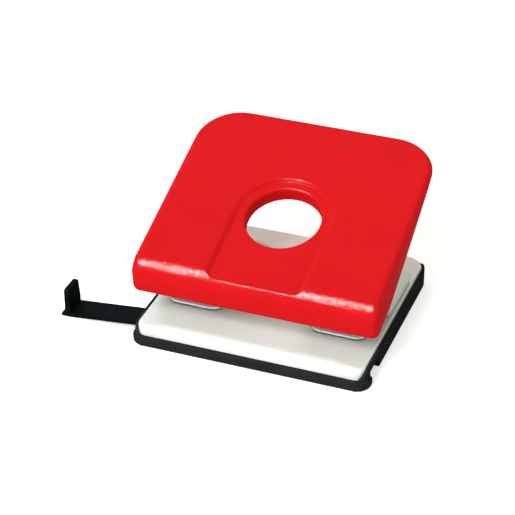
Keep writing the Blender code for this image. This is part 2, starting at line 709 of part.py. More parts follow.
def domed_rivet(name, radius, head, height, grip, location, turn=None):
    """Rivet with a round head above, and a flat set head below its grip."""
    sweep = [(0.0, height)]
    for index in range(1, DOME_STEPS + 1):
        angle = math.pi / 2 * (1.0 - index / DOME_STEPS)
        sweep.append((head * math.cos(angle), height * math.sin(angle)))
    tail = height * 0.8
    profile = sweep + [
        (radius, 0.0),
        (radius, -grip),
        (head, -grip),
        (head, -grip - tail / 2),
        (head * 0.8, -grip - tail),
        (0.0, -grip - tail),
    ]
    return turned(name, profile, location, turn, PARTS, ZINC_STEEL, steps=SMALL_STEPS)


def make_foot_rivets(side):
    """Three rivets hold each frame's foot down on the plate."""
    seat = SEAT_GAP / 2
    grip = FOOT_TOP - PLATE_UNDER + 2 * seat
    for index, (x, y) in enumerate(rivet_places(side)):
        name = f"{side_name(side)}_foot_rivet_{index + 1}"
        here = (x, y, FOOT_TOP + seat)
        domed_rivet(name, RIVET_RADIUS, RIVET_HEAD_RADIUS, RIVET_HEAD_HEIGHT, grip, here)


def make_ear_rivets(side):
    """Two small rivets join the pin guide's flanges to the ears."""
    y, z = ear_rivet_place()
    seat = SEAT_GAP / 2
    grip = FRAME_SHEET + FIT_GAP + GUIDE_PLATE_SHEET + 2 * seat
    for kind, x, way in (("inner", FRAME_INNER_X - seat, -1), ("outer", FRAME_OUTER_X + seat, 1)):
        turn = (0.0, way * side * math.pi / 2, 0.0)
        name = f"{side_name(side)}_{kind}_ear_rivet"
        head = EAR_RIVET_HEAD_RADIUS
        height = EAR_RIVET_HEAD_HEIGHT
        domed_rivet(name, EAR_RIVET_RADIUS, head, height, grip, (side * x, y, z), turn)


def make_pin(side):
    """Hardened punch pin: hollow-ground tip, ring groove and a domed top."""
    cap = math.asin(PIN_RADIUS / PIN_DOME_RADIUS)
    dome = []
    for index in range(DOME_STEPS + 1):
        angle = cap * index / DOME_STEPS
        drop = PIN_DOME_RADIUS * (1.0 - math.cos(angle))
        dome.append((PIN_DOME_RADIUS * math.sin(angle), PIN_TOP - drop))
    groove = PIN_RADIUS - CLIP_GROOVE_DEPTH
    groove_low = CLIP_BOTTOM - SEAT_GAP / 2
    groove_high = CLIP_BOTTOM + CLIP_THICKNESS + SEAT_GAP / 2
    profile = dome + [
        (PIN_RADIUS, groove_high),
        (groove, groove_high),
        (groove, groove_low),
        (PIN_RADIUS, groove_low),
        (PIN_RADIUS, PIN_TIP),
        (0.0, PIN_TIP + PIN_TIP_HOLLOW),
    ]
    name = f"{side_name(side)}_punch_pin"
    return turned(name, profile, (side * HOLE_X, PIN_Y, 0.0), group=PARTS, material=BRIGHT_STEEL)


def clip_outline(centre, shaft, rotation):
    """Snap ring: most of a turn around a groove, open on one side."""
    inner = shaft - CLIP_GROOVE_DEPTH + RUNNING_GAP
    start = rotation + CLIP_OPENING / 2
    end = rotation + math.tau - CLIP_OPENING / 2
    return arc(centre, inner + CLIP_RING, start, end) + arc(centre, inner, end, start)


def make_pin_fittings(side):
    """Washer and snap ring that hold a pin up on its spring."""
    bottom = WASHER_TOP - WASHER_THICKNESS
    centre = (side * HOLE_X, PIN_Y)
    loops = [circle(centre, WASHER_RADIUS), circle(centre, PIN_RADIUS + RUNNING_GAP)]
    slab(f"{side_name(side)}_spring_washer", loops, "Z", bottom, WASHER_TOP, PARTS, ZINC_STEEL)
    ring = clip_outline(centre, PIN_RADIUS, -math.pi / 2)
    high = CLIP_BOTTOM + CLIP_THICKNESS
    slab(f"{side_name(side)}_pin_clip", [ring], "Z", CLIP_BOTTOM, high, PARTS, SPRING_STEEL)


def make_spring(side):
    """Return spring: one wire wound from the pin guide up to the washer."""
    radius = SPRING_OUTER_RADIUS - SPRING_WIRE / 2
    low = GUIDE_PLATE_TOP + FIT_GAP + SPRING_WIRE / 2
    high = WASHER_TOP - WASHER_THICKNESS - FIT_GAP - SPRING_WIRE / 2
    count = SPRING_TURNS * SPRING_POINTS
    closed = SPRING_POINTS // 2
    weights = [SPRING_END_RISE if min(i, count - 1 - i) < closed else 1.0 for i in range(count)]
    total = sum(weights)
    points = []
    rise = 0.0
    for index in range(count + 1):
        angle = math.tau * index / SPRING_POINTS
        height = low + (high - low) * rise / total
        x = side * HOLE_X + radius * math.cos(angle)
        points.append(Vector((x, PIN_Y + radius * math.sin(angle), height)))
        if index < count:
            rise += weights[index]
    name = f"{side_name(side)}_return_spring"
    curve = bpy.data.curves.new(name, "CURVE")
    curve.dimensions = "3D"
    curve.bevel_depth = SPRING_WIRE / 2
    curve.bevel_resolution = 1
    curve.use_fill_caps = True
    spline = curve.splines.new("POLY")
    spline.points.add(len(points) - 1)
    for item, point in zip(spline.points, points):
        item.co = (*point, 1.0)
    gap = min(
        (points[i] - points[j]).length
        for i in range(len(points))
        for j in range(i + SPRING_POINTS - 2, len(points))
    )
    print(f"{name}: least gap between turns {(gap - SPRING_WIRE) / MM:.2f} mm")
    return place(bpy.data.objects.new(name, curve), PARTS, SPRING_STEEL, None)


def make_hinge_rod():
    """One rod through all four ears, with a snap ring outside each outer ear."""
    groove = ROD_RADIUS - CLIP_GROOVE_DEPTH
    near = FRAME_OUTER_X + FIT_GAP
    far = near + CLIP_THICKNESS
    slack = SEAT_GAP / 2
    half = [
        (0.0, ROD_HALF),
        (ROD_RADIUS - SEAT_GAP, ROD_HALF),
        (ROD_RADIUS, ROD_HALF - SEAT_GAP),
        (ROD_RADIUS, far + slack),
        (groove, far + slack),
        (groove, near - slack),
        (ROD_RADIUS, near - slack),
    ]
    profile = half + [(radius, -x) for radius, x in reversed(half)]
    here = (0.0, PIVOT_Y, PIVOT_Z)
    turned("hinge_rod", profile, here, (0.0, math.pi / 2, 0.0), PARTS, BRIGHT_STEEL)
    for side in (-1, 1):
        ring = clip_outline((PIVOT_Y, PIVOT_Z), ROD_RADIUS, -math.pi / 2)
        low, high = sorted((side * near, side * far))
        slab(f"{side_name(side)}_rod_clip", [ring], "X", low, high, PARTS, SPRING_STEEL)


def screw_places():
    """Cover screws, (x, y) in the lever's own frame. The outer two keep their reach from the pins."""
    inner = [(side * SCREW_INNER_X, SCREW_INNER_Y) for side in (-1, 1)]
    beside = SCREW_OUTER_X - HOLE_X
    ahead = math.sqrt(max(0.0, SCREW_PIN_REACH**2 - beside**2))
    outer = [(side * SCREW_OUTER_X, SCREW_OUTER_Y - ahead) for side in (-1, 1)]
    return inner + outer


def cover_block(name, inset, rear, group, material, lever):
    """Block of the cover's plan with its front top edge curled, reaching below the lip."""
    half = COVER_WIDTH / 2 - inset
    front = -COVER_FRONT + inset
    top = COVER_TOP - inset
    plan = rectangle(-half, front, half, rear, 0.0, COVER_REAR_CORNER - inset)
    low = COVER_TOP - COVER_LIP - OVERRUN - inset
    block = slab(name, [plan], "Z", low, top, group, material, lever)
    near = 10 * MERGE_DISTANCE
    return round_edges(
        block,
        COVER_CURL - inset,
        CURL_STEPS,
        lambda place: abs(place.z - top) < near and abs(place.y - front) < near,
    )


def trim_cover(cover, lever):
    """Cut the sides to their slanting lower edge, which rounds up into the front lip."""
    reach = COVER_WIDTH / 2 + OVERRUN
    low = COVER_TOP - COVER_LIP
    rear_low = COVER_TOP - COVER_REAR_EDGE
    deep = low - 2 * OVERRUN
    below = outline([
        (-COVER_FRONT, COVER_TOP, 0.0),
        (-COVER_FRONT - OVERRUN, COVER_TOP, 0.0),
        (-COVER_FRONT - OVERRUN, deep, 0.0),
        (COVER_REAR + OVERRUN, deep, 0.0),
        (COVER_REAR + OVERRUN, rear_low, 0.0),
        (COVER_REAR - COVER_TAPER, rear_low, 0.0),
        (-COVER_FRONT, low, COVER_LOWER_CORNER),
    ])
    return cut(cover, slab("below_sides", [below], "X", -reach, reach, parent=lever))


def recess_outline(grow):
    """Plan of the recessed panel: an arch round the finger hole and straight sides to the curl."""
    radius = RECESS_RADIUS + grow
    floor = COVER_CURL - RECESS_DEPTH
    front = -COVER_FRONT + COVER_CURL - math.sqrt(COVER_CURL**2 - floor**2) - SEAT_GAP
    arch = arc((0.0, FINGER_HOLE_Y), radius, 0.0, math.pi)
    corner = RECESS_CORNER + grow
    low_y = front if grow <= 0.0 else front + COVER_WALL
    feet = outline([
        (-radius, FINGER_HOLE_Y, 0.0),
        (-radius, low_y, corner),
        (radius, low_y, corner),
        (radius, FINGER_HOLE_Y, 0.0),
    ])
    return arch[:-1] + feet[:-1]


def make_lever_cover(lever):
    """Red moulded cover: curled front, deep sides, recessed panel and a collared finger hole."""
    cover = cover_block("lever_cover", 0.0, COVER_REAR, PARTS, RED_PLASTIC, lever)
    round_edges(cover, COVER_EDGE_ROUND)
    half = COVER_WIDTH / 2
    plan = rectangle(-half, -COVER_FRONT, half, COVER_REAR + OVERRUN, COVER_FRONT_CORNER)
    deep = COVER_TOP - COVER_LIP - 3 * OVERRUN
    keep_inside(cover, slab("cover_plan", [plan], "Z", deep, COVER_TOP + OVERRUN, parent=lever))
    trim_cover(cover, lever)
    cut(cover, cover_block("cover_hollow", COVER_WALL, COVER_REAR - COVER_TAPER, CUTTERS, None, lever))

    rib_low = COVER_UNDER - RIB_HEIGHT
    rib_high = COVER_UNDER + COVER_WALL / 3
    for side in (-1, 1):
        low, high = sorted((side * RIB_X, side * (RIB_X + RIB_THICKNESS)))
        rib = rectangle(low, RIB_START, high, RIB_END - RIB_THICKNESS / 2)
        join(cover, slab(f"{side_name(side)}_rib", [rib], "Z", rib_low, rib_high, parent=lever))
    cross = rectangle(-CROSS_RIB_HALF, RIB_END - RIB_THICKNESS, CROSS_RIB_HALF, RIB_END)
    join(cover, slab("cross_rib", [cross], "Z", rib_low + RIB_THICKNESS / 4, rib_high, parent=lever))

    floor = COVER_TOP - RECESS_DEPTH
    high = COVER_UNDER + COVER_WALL / 2
    backing = [recess_outline(COVER_WALL)]
    join(cover, slab("recess_backing", backing, "Z", floor - COVER_WALL, high, parent=lever))
    here = (0.0, FINGER_HOLE_Y, 0.0)
    bottom = floor - COLLAR_DEPTH
    outer = FINGER_HOLE_RADIUS + COLLAR_WALL
    collar_top = floor - COVER_WALL / 2
    join(cover, cylinder("collar", outer, bottom, collar_top, here, parent=lever, steps=HOLE_STEPS))
    seat = BAR_TOP + SEAT_GAP
    for index, (x, y) in enumerate(screw_places()):
        name = f"boss_{index}"
        spot = (x, y, 0.0)
        join(cover, cylinder(name, BOSS_RADIUS, seat, high, spot, parent=lever, steps=SMALL_STEPS))

    end = BAR_PRESS_HEIGHT + SCREW_LENGTH + SEAT_GAP
    for index, (x, y) in enumerate(screw_places()):
        radius = SCREW_RADIUS + RUNNING_GAP
        name = f"boss_hole_{index}"
        cut(cover, cylinder(name, radius, BAR_TOP, end, (x, y, 0.0), parent=lever, steps=SMALL_STEPS))
    weld(cover)

    cut(cover, slab("recess", [recess_outline(0.0)], "Z", floor, COVER_TOP + OVERRUN, parent=lever))
    top = COVER_TOP + OVERRUN
    deep = bottom - OVERRUN
    cut(cover, cylinder("finger_hole", FINGER_HOLE_RADIUS, deep, top, here, parent=lever, steps=HOLE_STEPS))
    return weld(cover)


def make_pressure_bar(lever):
    """Steel bar under the cover: it turns on the rod and bears on both pins."""
    half = FRAME_OUTER_X - FRAME_SHEET - BAR_SIDE_GAP
    section = folded_channel(-half, half, -BAR_TOP, BAR_LUG_RADIUS, BAR_SHEET, BAR_BEND)
    section = [(x, -z) for x, z in section]
    low = -BAR_FRONT - OVERRUN
    bar = slab("pressure_bar", [section], "Y", low, BAR_BACK + OVERRUN, PARTS, ZINC_STEEL, lever)
    edge = BAR_PRESS_HEIGHT - BAR_BEND
    lug = arc((0.0, 0.0), BAR_LUG_RADIUS, math.pi, math.tau)
    side_view = lug + [
        (BAR_LUG_RADIUS, edge),
        (BAR_BACK, edge),
        (BAR_BACK, BAR_TOP + OVERRUN),
        (-BAR_FRONT, BAR_TOP + OVERRUN),
        (-BAR_FRONT, edge),
        (-BAR_LUG_RADIUS, edge),
    ]
    keep_inside(bar, slab("bar_side_view", [side_view], "X", -half - OVERRUN, half + OVERRUN, parent=lever))
    here = (0.0, FINGER_HOLE_Y, 0.0)
    clear = FINGER_HOLE_RADIUS + COLLAR_WALL + BAR_COLLAR_GAP
    cut(bar, cylinder("bar_collar_room", clear, 0.0, BAR_TOP + OVERRUN, here, parent=lever, steps=HOLE_STEPS))
    rod_hole = circle((0.0, 0.0), ROD_RADIUS + RUNNING_GAP)
    cut(bar, slab("bar_rod_hole", [rod_hole], "X", -half - OVERRUN, half + OVERRUN, parent=lever))
    holes = [circle(centre, SCREW_RADIUS + RUNNING_GAP) for centre in screw_places()]
    cut(bar, slab("bar_screw_holes", holes, "Z", 0.0, BAR_TOP + OVERRUN, parent=lever))
    return bar


def make_cover_screws(lever):
    """Four pan-head screws hold the bar to the cover's bosses."""
    under = BAR_PRESS_HEIGHT - SEAT_GAP / 2
    low = under - SCREW_HEAD_HEIGHT
    profile = [
        (0.0, under + SCREW_LENGTH),
        (SCREW_RADIUS, under + SCREW_LENGTH),
        (SCREW_RADIUS, under),
        (SCREW_HEAD_RADIUS, under),
        (SCREW_HEAD_RADIUS, low + SCREW_HEAD_HEIGHT / 3),
        (SCREW_HEAD_RADIUS * 0.8, low),
        (0.0, low),
    ]
    for index, (x, y) in enumerate(screw_places()):
        name = f"cover_screw_{index + 1}"
        turned(name, profile, (x, y, 0.0), group=PARTS, material=ZINC_STEEL, parent=lever, steps=SMALL_STEPS)


def make_paper_guide():
    """Black guide strip with an upright stop, cranked down so that its foot clears the table."""
    front = FRONT_Y + GUIDE_FRONT_SETBACK
    exit_x = -HALF_WIDTH - BUMPER_SIDE
    stop = -GUIDE_STOP_X
    outer = stop - GUIDE_STOP_THICKNESS
    toe = outer - GUIDE_FOOT_REACH
    inner_end = outer + GUIDE_LENGTH
    top = GUIDE_HEIGHT + GUIDE_THICKNESS
    floor = GUIDE_FOOT_CLEARANCE
    side_view = outline([
        (inner_end, top, 0.0),
        (exit_x, top, 0.0),
        (stop, floor + GUIDE_THICKNESS, GUIDE_EDGE_ROUND),
        (stop, GUIDE_STOP_TOP, GUIDE_EDGE_ROUND),
        (outer, GUIDE_STOP_TOP, GUIDE_EDGE_ROUND),
        (outer, floor + GUIDE_FOOT_THICKNESS, GUIDE_EDGE_ROUND),
        (toe, floor + GUIDE_FOOT_THICKNESS, GUIDE_EDGE_ROUND),
        (toe, floor, GUIDE_EDGE_ROUND),
        (stop, floor, 0.0),
        (exit_x, GUIDE_HEIGHT, 0.0),
        (inner_end, GUIDE_HEIGHT, 0.0),
    ])
    back = front + GUIDE_WIDTH
    guide = slab("paper_guide", [side_view], "Y", front, back, PARTS, BLACK_PLASTIC)
    end_view = outline([
        (front - OVERRUN, -OVERRUN, 0.0),
        (back + OVERRUN, -OVERRUN, 0.0),
        (back + OVERRUN, top, 0.0),
        (back, top, 0.0),
        (back - GUIDE_STOP_SLANT, GUIDE_STOP_TOP, GUIDE_STOP_ROUND),
        (front, GUIDE_STOP_TOP, GUIDE_STOP_ROUND),
        (front, top, 0.0),
        (front - OVERRUN, top, 0.0),
    ])
    keep_inside(guide, slab("guide_end_view", [end_view], "X", toe - OVERRUN, inner_end + OVERRUN))
    return guide


def build_punch():
    make_chip_tray()
    make_base_plate()
    make_paper_guide()
    for side in (-1, 1):
        make_punch_frame(side)
        make_guide_plate(side)
        make_foot_rivets(side)
        make_ear_rivets(side)
        make_pin(side)
        make_pin_fittings(side)
        make_spring(side)
    make_hinge_rod()
    lever = bpy.data.objects.new("lever_axis", None)
    PARTS.objects.link(lever)
    lever.location = (0.0, PIVOT_Y, PIVOT_Z)
    lever.rotation_euler = (LEVER_PITCH, 0.0, 0.0)
    make_lever_cover(lever)
    make_pressure_bar(lever)
    make_cover_screws(lever)


build_punch()
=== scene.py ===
import math

import bmesh
import bpy
from mathutils import Matrix, Vector


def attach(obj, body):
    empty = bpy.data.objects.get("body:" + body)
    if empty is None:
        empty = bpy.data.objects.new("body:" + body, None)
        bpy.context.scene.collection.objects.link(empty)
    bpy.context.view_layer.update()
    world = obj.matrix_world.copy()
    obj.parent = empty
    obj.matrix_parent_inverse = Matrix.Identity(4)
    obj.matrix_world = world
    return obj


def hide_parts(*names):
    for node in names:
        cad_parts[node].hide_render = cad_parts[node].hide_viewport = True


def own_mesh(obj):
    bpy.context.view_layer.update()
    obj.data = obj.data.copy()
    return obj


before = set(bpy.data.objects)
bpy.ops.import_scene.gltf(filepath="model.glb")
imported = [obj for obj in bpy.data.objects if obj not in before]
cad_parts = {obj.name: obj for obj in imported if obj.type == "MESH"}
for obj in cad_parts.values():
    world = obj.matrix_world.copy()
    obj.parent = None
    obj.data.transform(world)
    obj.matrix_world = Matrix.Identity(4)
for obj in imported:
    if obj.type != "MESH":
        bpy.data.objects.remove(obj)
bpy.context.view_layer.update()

mm = 0.001
overrun = 5 * mm                      # how far a cutting shape reaches past what it cuts
weldDistance = 0.001 * mm
quarter = math.pi / 2
print("frame loaded:", len(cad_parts), "nodes")

scene = bpy.context.scene
scene.view_settings.view_transform = "Standard"


def metres(sizes):
    return {name: value * mm for name, value in sizes.items()}


def arcPoints(centre, radius, start, end, step=math.radians(5)):
    count = max(1, round(abs(end - start) / step))
    angles = [start + (end - start) * index / count for index in range(count + 1)]
    return [(centre[0] + radius * math.cos(a), centre[1] + radius * math.sin(a)) for a in angles]


def circlePoints(centre, radius, count=96):
    return arcPoints(centre, radius, 0, math.tau, math.tau / count)[:-1]


def roundedLoop(corners, step=math.radians(7.5)):
    points = []
    for index, (x, y, radius) in enumerate(corners):
        corner = Vector((x, y))
        if radius <= 0:
            points.append((x, y))
            continue
        before = (Vector(corners[index - 1][:2]) - corner).normalized()
        after = (Vector(corners[(index + 1) % len(corners)][:2]) - corner).normalized()
        half = before.angle(after) / 2
        middle = corner + (before + after).normalized() * (radius / math.sin(half))
        first = corner + before * (radius / math.tan(half)) - middle
        last = corner + after * (radius / math.tan(half)) - middle
        start = math.atan2(first.y, first.x)
        sweep = math.remainder(math.atan2(last.y, last.x) - start, math.tau)
        points.extend(arcPoints(middle, radius, start, start + sweep, step))
    return points


def rectangleLoop(lowX, lowY, highX, highY, front=0, back=0):
    return roundedLoop([
        (lowX, lowY, front),
        (highX, lowY, front),
        (highX, highY, back),
        (lowX, highY, back),
    ])


def smoothStep(value):
    value = min(1.0, max(0.0, value))
    return value * value * (3 - 2 * value)


def addObject(name, points, faces):
    mesh = bpy.data.meshes.new(name)
    mesh.from_pydata(points, [], faces)
    item = bpy.data.objects.new(name, mesh)
    scene.collection.objects.link(item)
    return item


def editMesh(item, change):
    shape = bmesh.new()
    shape.from_mesh(item.data)
    change(shape)
    shape.to_mesh(item.data)
    shape.free()
    return item


def faceOutwards(shape):
    bmesh.ops.recalc_face_normals(shape, faces=shape.faces)


def weld(item):
    def change(shape):
        bmesh.ops.remove_doubles(shape, verts=shape.verts, dist=weldDistance)
        bmesh.ops.dissolve_limit(
            shape,
            angle_limit=math.radians(0.2),
            verts=shape.verts,
            edges=shape.edges,
            delimit={"NORMAL"},
        )
    return editMesh(item, change)


def ringFaces(levels, count):
    # the faces between rings of equally many points, each ring joined to the next
    faces = []
    for level in range(levels - 1):
        for index in range(count):
            follower = (index + 1) % count
            here, there = level * count, (level + 1) * count
            faces.append([here + index, here + follower, there + follower, there + index])
    return faces


def stackedRings(name, rings):
    # closed solid through rings of equally many points, capped at both ends
    count = len(rings[0])
    points = [point for ring in rings for point in ring]
    caps = [list(range(count)), list(range(len(points) - count, len(points)))]
    return editMesh(addObject(name, points, caps + ringFaces(len(rings), count)), faceOutwards)


def prism(name, loop, axis, low, high):
    # loops are (y, z) for X, (x, z) for Y and (x, y) for Z
    lift = {
        "X": lambda a, b, c: (c, a, b),
        "Y": lambda a, b, c: (a, c, b),
        "Z": lambda a, b, c: (a, b, c),
    }[axis]
    return stackedRings(name, [[lift(a, b, c) for a, b in loop] for c in (low, high)])


def lathed(name, profile, place, turn=Matrix.Identity(4), steps=64):
    # (radius, height) profile turned about its own upright axis, then turned and put in place
    points = []
    for radius, height in profile:
        for index in range(steps):
            angle = math.tau * index / steps
            points.append((radius * math.cos(angle), radius * math.sin(angle), height))
    item = addObject(name, points, ringFaces(len(profile), steps))

    def change(shape):
        bmesh.ops.remove_doubles(shape, verts=shape.verts, dist=weldDistance)
        faceOutwards(shape)
        bmesh.ops.transform(shape, matrix=Matrix.Translation(place) @ turn, verts=shape.verts)
    return editMesh(item, change)


def bake(item):
    bpy.context.view_layer.update()
    seen = item.evaluated_get(bpy.context.evaluated_depsgraph_get())
    shape = bpy.data.meshes.new_from_object(seen)
    item.modifiers.clear()
    item.data = shape
    return item


def combine(item, operation, tool):
    change = item.modifiers.new("combine", "BOOLEAN")
    change.object = tool
    change.operation = operation
    change.solver = "EXACT"
    bake(item)
    bpy.data.objects.remove(tool)
    return weld(item)


def cutAway(item, tool):
    return combine(item, "DIFFERENCE", tool)


def joinOn(item, tool):
    return combine(item, "UNION", tool)


def keepInside(item, tool):
    return combine(item, "INTERSECT", tool)


def roundOff(item, width, segments=3, angle=40):
    bevel = item.modifiers.new("round", "BEVEL")
    bevel.width = width
    bevel.segments = segments
    bevel.use_clamp_overlap = False
    bevel.limit_method = "ANGLE"
    bevel.angle_limit = math.radians(angle)
    return bake(item)


def shade(item, angle=32):
    item.data.shade_smooth()
    item.data.set_sharp_from_angle(angle=math.radians(angle))
    weighted = item.modifiers.new("shading", "WEIGHTED_NORMAL")
    weighted.keep_sharp = True
    weighted.weight = 90
    return bake(item)


def finishPiece(item, material, body, slotName, *nodes):
    item.data.materials.clear()
    item.data.materials.append(material)
    for face in item.data.polygons:
        face.material_index = 0
    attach(item, body)
    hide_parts(*nodes)
    return item


def refined(name, nodeName, width, segments=2, angle=35):
    # a merged copy of a CAD node with its sheet edges rounded
    item = bpy.data.objects.new(name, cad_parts[nodeName].data.copy())
    scene.collection.objects.link(item)
    weld(item)
    if width:
        roundOff(item, width, segments, angle)
    return shade(item)


def addNode(tree, kind, links=None, **settings):
    node = tree.nodes.new(kind)
    for name, value in settings.items():
        setattr(node, name, value)
    for name, value in (links or {}).items():
        socket = node.inputs[name]
        if isinstance(value, bpy.types.NodeSocket):
            tree.links.new(value, socket)
        else:
            socket.default_value = value
    return node


def nodeMath(tree, operation, *values):
    return addNode(tree, "ShaderNodeMath", dict(enumerate(values)), operation=operation).outputs[0]


def mapRange(tree, value, fromLow, fromHigh, toLow=0.0, toHigh=1.0):
    limits = {"From Min": fromLow, "From Max": fromHigh, "To Min": toLow, "To Max": toHigh}
    return addNode(tree, "ShaderNodeMapRange", {"Value": value, **limits}).outputs["Result"]


def addBareEdgeAndShade(tree, coordinates, paint, edge):
    # the sheet's cut edge below this height is painted near black: partly the bare edge, partly
    # painted shade standing in for the contact shadow under the foot
    height = addNode(tree, "ShaderNodeSeparateXYZ", {"Vector": coordinates["Object"]}).outputs["Z"]
    facing = addNode(tree, "ShaderNodeSeparateXYZ", {"Vector": coordinates["Normal"]}).outputs["Z"]
    low = mapRange(tree, height, *edge["height"], 1.0, 0.0)
    upright = mapRange(tree, facing, *edge["facing"], 1.0, 0.0)
    edgeShade = nodeMath(tree, "MULTIPLY", low, upright)
    mixed = addNode(tree, "ShaderNodeMix", {"Factor": edgeShade}, data_type="RGBA")
    tree.links.new(paint.outputs["Result"], mixed.inputs["A"])
    mixed.inputs["B"].default_value = (*edge["colour"], 1)
    return mixed


noiseRange = (0.3, 0.7)               # where nearly all of a noise's values lie
filmRange = (0.44, 0.56)              # the grain's values over which the film comes and goes


def finishMaterial(name, look):
    # grain is bump at the finish's own scale, blotch a faint drift of colour
    material = bpy.data.materials.new(name)
    material.use_nodes = True
    tree = material.node_tree
    shader = tree.nodes["Principled BSDF"]
    coordinates = addNode(tree, "ShaderNodeTexCoord").outputs
    place = coordinates["Object"]
    if "stretch" in look:
        place = addNode(
            tree, "ShaderNodeMapping", {"Vector": place, "Scale": look["stretch"]}
        ).outputs["Vector"]
    blotch = addNode(
        tree,
        "ShaderNodeTexNoise",
        {"Vector": place, "Scale": look["blotchScale"], "Detail": 4.0, "Roughness": 0.6},
    )
    grain = addNode(
        tree,
        "ShaderNodeTexNoise",
        {"Vector": place, "Scale": look["grainScale"], "Detail": 2.0, "Roughness": 0.55},
    )
    shift = mapRange(tree, blotch.outputs["Fac"], *noiseRange)
    colour = addNode(tree, "ShaderNodeMix", {"Factor": shift}, data_type="RGBA")
    colour.inputs["A"].default_value = (*look["colour"], 1)
    colour.inputs["B"].default_value = (*look["drift"], 1)
    if "bareEdgeAndShade" in look:
        colour = addBareEdgeAndShade(tree, coordinates, colour, look["bareEdgeAndShade"])
    tree.links.new(colour.outputs["Result"], shader.inputs["Base Color"])
    gloss = mapRange(tree, grain.outputs["Fac"], *noiseRange, *look["roughness"])
    tree.links.new(gloss, shader.inputs["Roughness"])
    bump = addNode(
        tree,
        "ShaderNodeBump",
        {"Height": grain.outputs["Fac"], "Strength": 1.0, "Distance": look["grainDepth"]},
    )
    tree.links.new(bump.outputs["Normal"], shader.inputs["Normal"])
    tree.links.new(bump.outputs["Normal"], shader.inputs["Coat Normal"])
    shader.inputs["Metallic"].default_value = look.get("metallic", 0)
    if "coat" in look:
        film = mapRange(tree, grain.outputs["Fac"], *filmRange, *look["coat"])
        tree.links.new(film, shader.inputs["Coat Weight"])
    shader.inputs["Coat Roughness"].default_value = look.get("coatRoughness", 0.1)
    shader.inputs["Specular IOR Level"].default_value = look.get("specular", 0.5)
    return material


looks = {
    "redPlastic": {
        "colour": (0.752, 0.0095, 0.0125),
        "drift": (0.728, 0.0085, 0.0115),
        "blotchScale": 22.0,
        "grainScale": 1100.0,
        "grainDepth": 0.20 * mm,
        "roughness": (0.22, 0.30),
        "specular": 0.0,
        "coat": (0.0, 0.17),
        "coatRoughness": 0.14,
    },
    "whitePaint": {
        "colour": (0.885, 0.955, 0.91),
        "drift": (0.87, 0.94, 0.895),
        "blotchScale": 18.0,
        "grainScale": 520.0,
        "grainDepth": 0.012 * mm,
        "roughness": (0.33, 0.40),
    },
    "blackPlastic": {
        "colour": (0.027, 0.029, 0.030),
        "drift": (0.020, 0.022, 0.023),
        "blotchScale": 30.0,
        "grainScale": 1300.0,
        "grainDepth": 0.03 * mm,
        "roughness": (0.36, 0.46),
        "specular": 0.0,
        "coat": (0.0, 0.02),
        "coatRoughness": 0.35,
    },
    "guidePlastic": {
        "colour": (0.004, 0.008, 0.009),
        "drift": (0.003, 0.005, 0.006),
        "blotchScale": 40.0,
        "grainScale": 1000.0,
        "grainDepth": 0.03 * mm,
        "roughness": (0.40, 0.50),
        "specular": 0.0,
        "coat": (0.02, 0.04),
        "coatRoughness": 0.4,
    },
    "zincSteel": {
        "colour": (0.66, 0.66, 0.62),
        "drift": (0.58, 0.585, 0.55),
        "blotchScale": 120.0,
        "grainScale": 900.0,
        "grainDepth": 0.006 * mm,
        "roughness": (0.30, 0.42),
        "metallic": 1.0,
    },
    "brightSteel": {
        "colour": (0.62, 0.63, 0.64),
        "drift": (0.56, 0.57, 0.58),
        "blotchScale": 60.0,
        "grainScale": 1500.0,
        "grainDepth": 0.003 * mm,
        "roughness": (0.20, 0.30),
        "metallic": 1.0,
        "stretch": (1.0, 1.0, 0.25),
    },
    "springSteel": {
        "colour": (0.34, 0.34, 0.35),
        "drift": (0.25, 0.25, 0.26),
        "blotchScale": 200.0,
        "grainScale": 1400.0,
        "grainDepth": 0.004 * mm,
        "roughness": (0.28, 0.38),
        "metallic": 1.0,
    },
}
looks["framePaint"] = {
    **looks["whitePaint"],
    # painted contact shade: a near-black band on the foot's low upright faces, together with its
    # bare cut edge
    "bareEdgeAndShade": {
        "colour": (0.035, 0.038, 0.045),
        "height": (12.7 * mm, 12.85 * mm),
        "facing": (0.3, 0.5),
    },
}
materials = {name: finishMaterial(name, look) for name, look in looks.items()}
print("materials ready:", len(materials))


viewing = {
    "place": (0.28647, -0.80800, 0.57029),
    "target": (-0.01557, 0.0, 0.0294),
    "lens": 132.94,
    "sensor": 36.0,
}
camera = bpy.data.objects.new("camera", bpy.data.cameras.new("camera"))
scene.collection.objects.link(camera)
camera.location = viewing["place"]
lookAlong = Vector(viewing["target"]) - Vector(viewing["place"])
camera.rotation_euler = lookAlong.to_track_quat("-Z", "Y").to_euler()
camera.data.lens = viewing["lens"]
camera.data.sensor_width = viewing["sensor"]
camera.data.sensor_fit = "HORIZONTAL"
camera.data.clip_start = 0.01
camera.data.clip_end = 20.0
scene.camera = camera

lighting = {
    "suns": {                         # towards, strength, angle, whether it lights matt surfaces
        "keyLight": ((-0.20, -0.67, 0.715), 1.87, 25.0, True),
        "frontLight": ((-0.34, -0.88, 0.34), 0.55, 60.0, True),
        "rearLight": ((-0.42, 0.77, 0.48), 1.0, 70.0, True),
        "glint": ((-0.297, -0.61, 0.735), 27.0, 16.0, False),
    },
    "ambient": 0.32,
    "ambientTint": (0.97, 1.0, 0.87),
    "floorColour": (0.87, 0.885, 0.87),
    "floorLift": 0.62,
    "floorReach": 4,
}
for name, (towards, strength, angle, lightsMatt) in lighting["suns"].items():
    lamp = bpy.data.objects.new(name, bpy.data.lights.new(name, "SUN"))
    scene.collection.objects.link(lamp)
    lamp.location = Vector(towards) * 2
    lamp.rotation_euler = Vector(towards).to_track_quat("Z", "Y").to_euler()
    lamp.data.energy = strength
    lamp.data.angle = math.radians(angle)
    lamp.visible_diffuse = lightsMatt

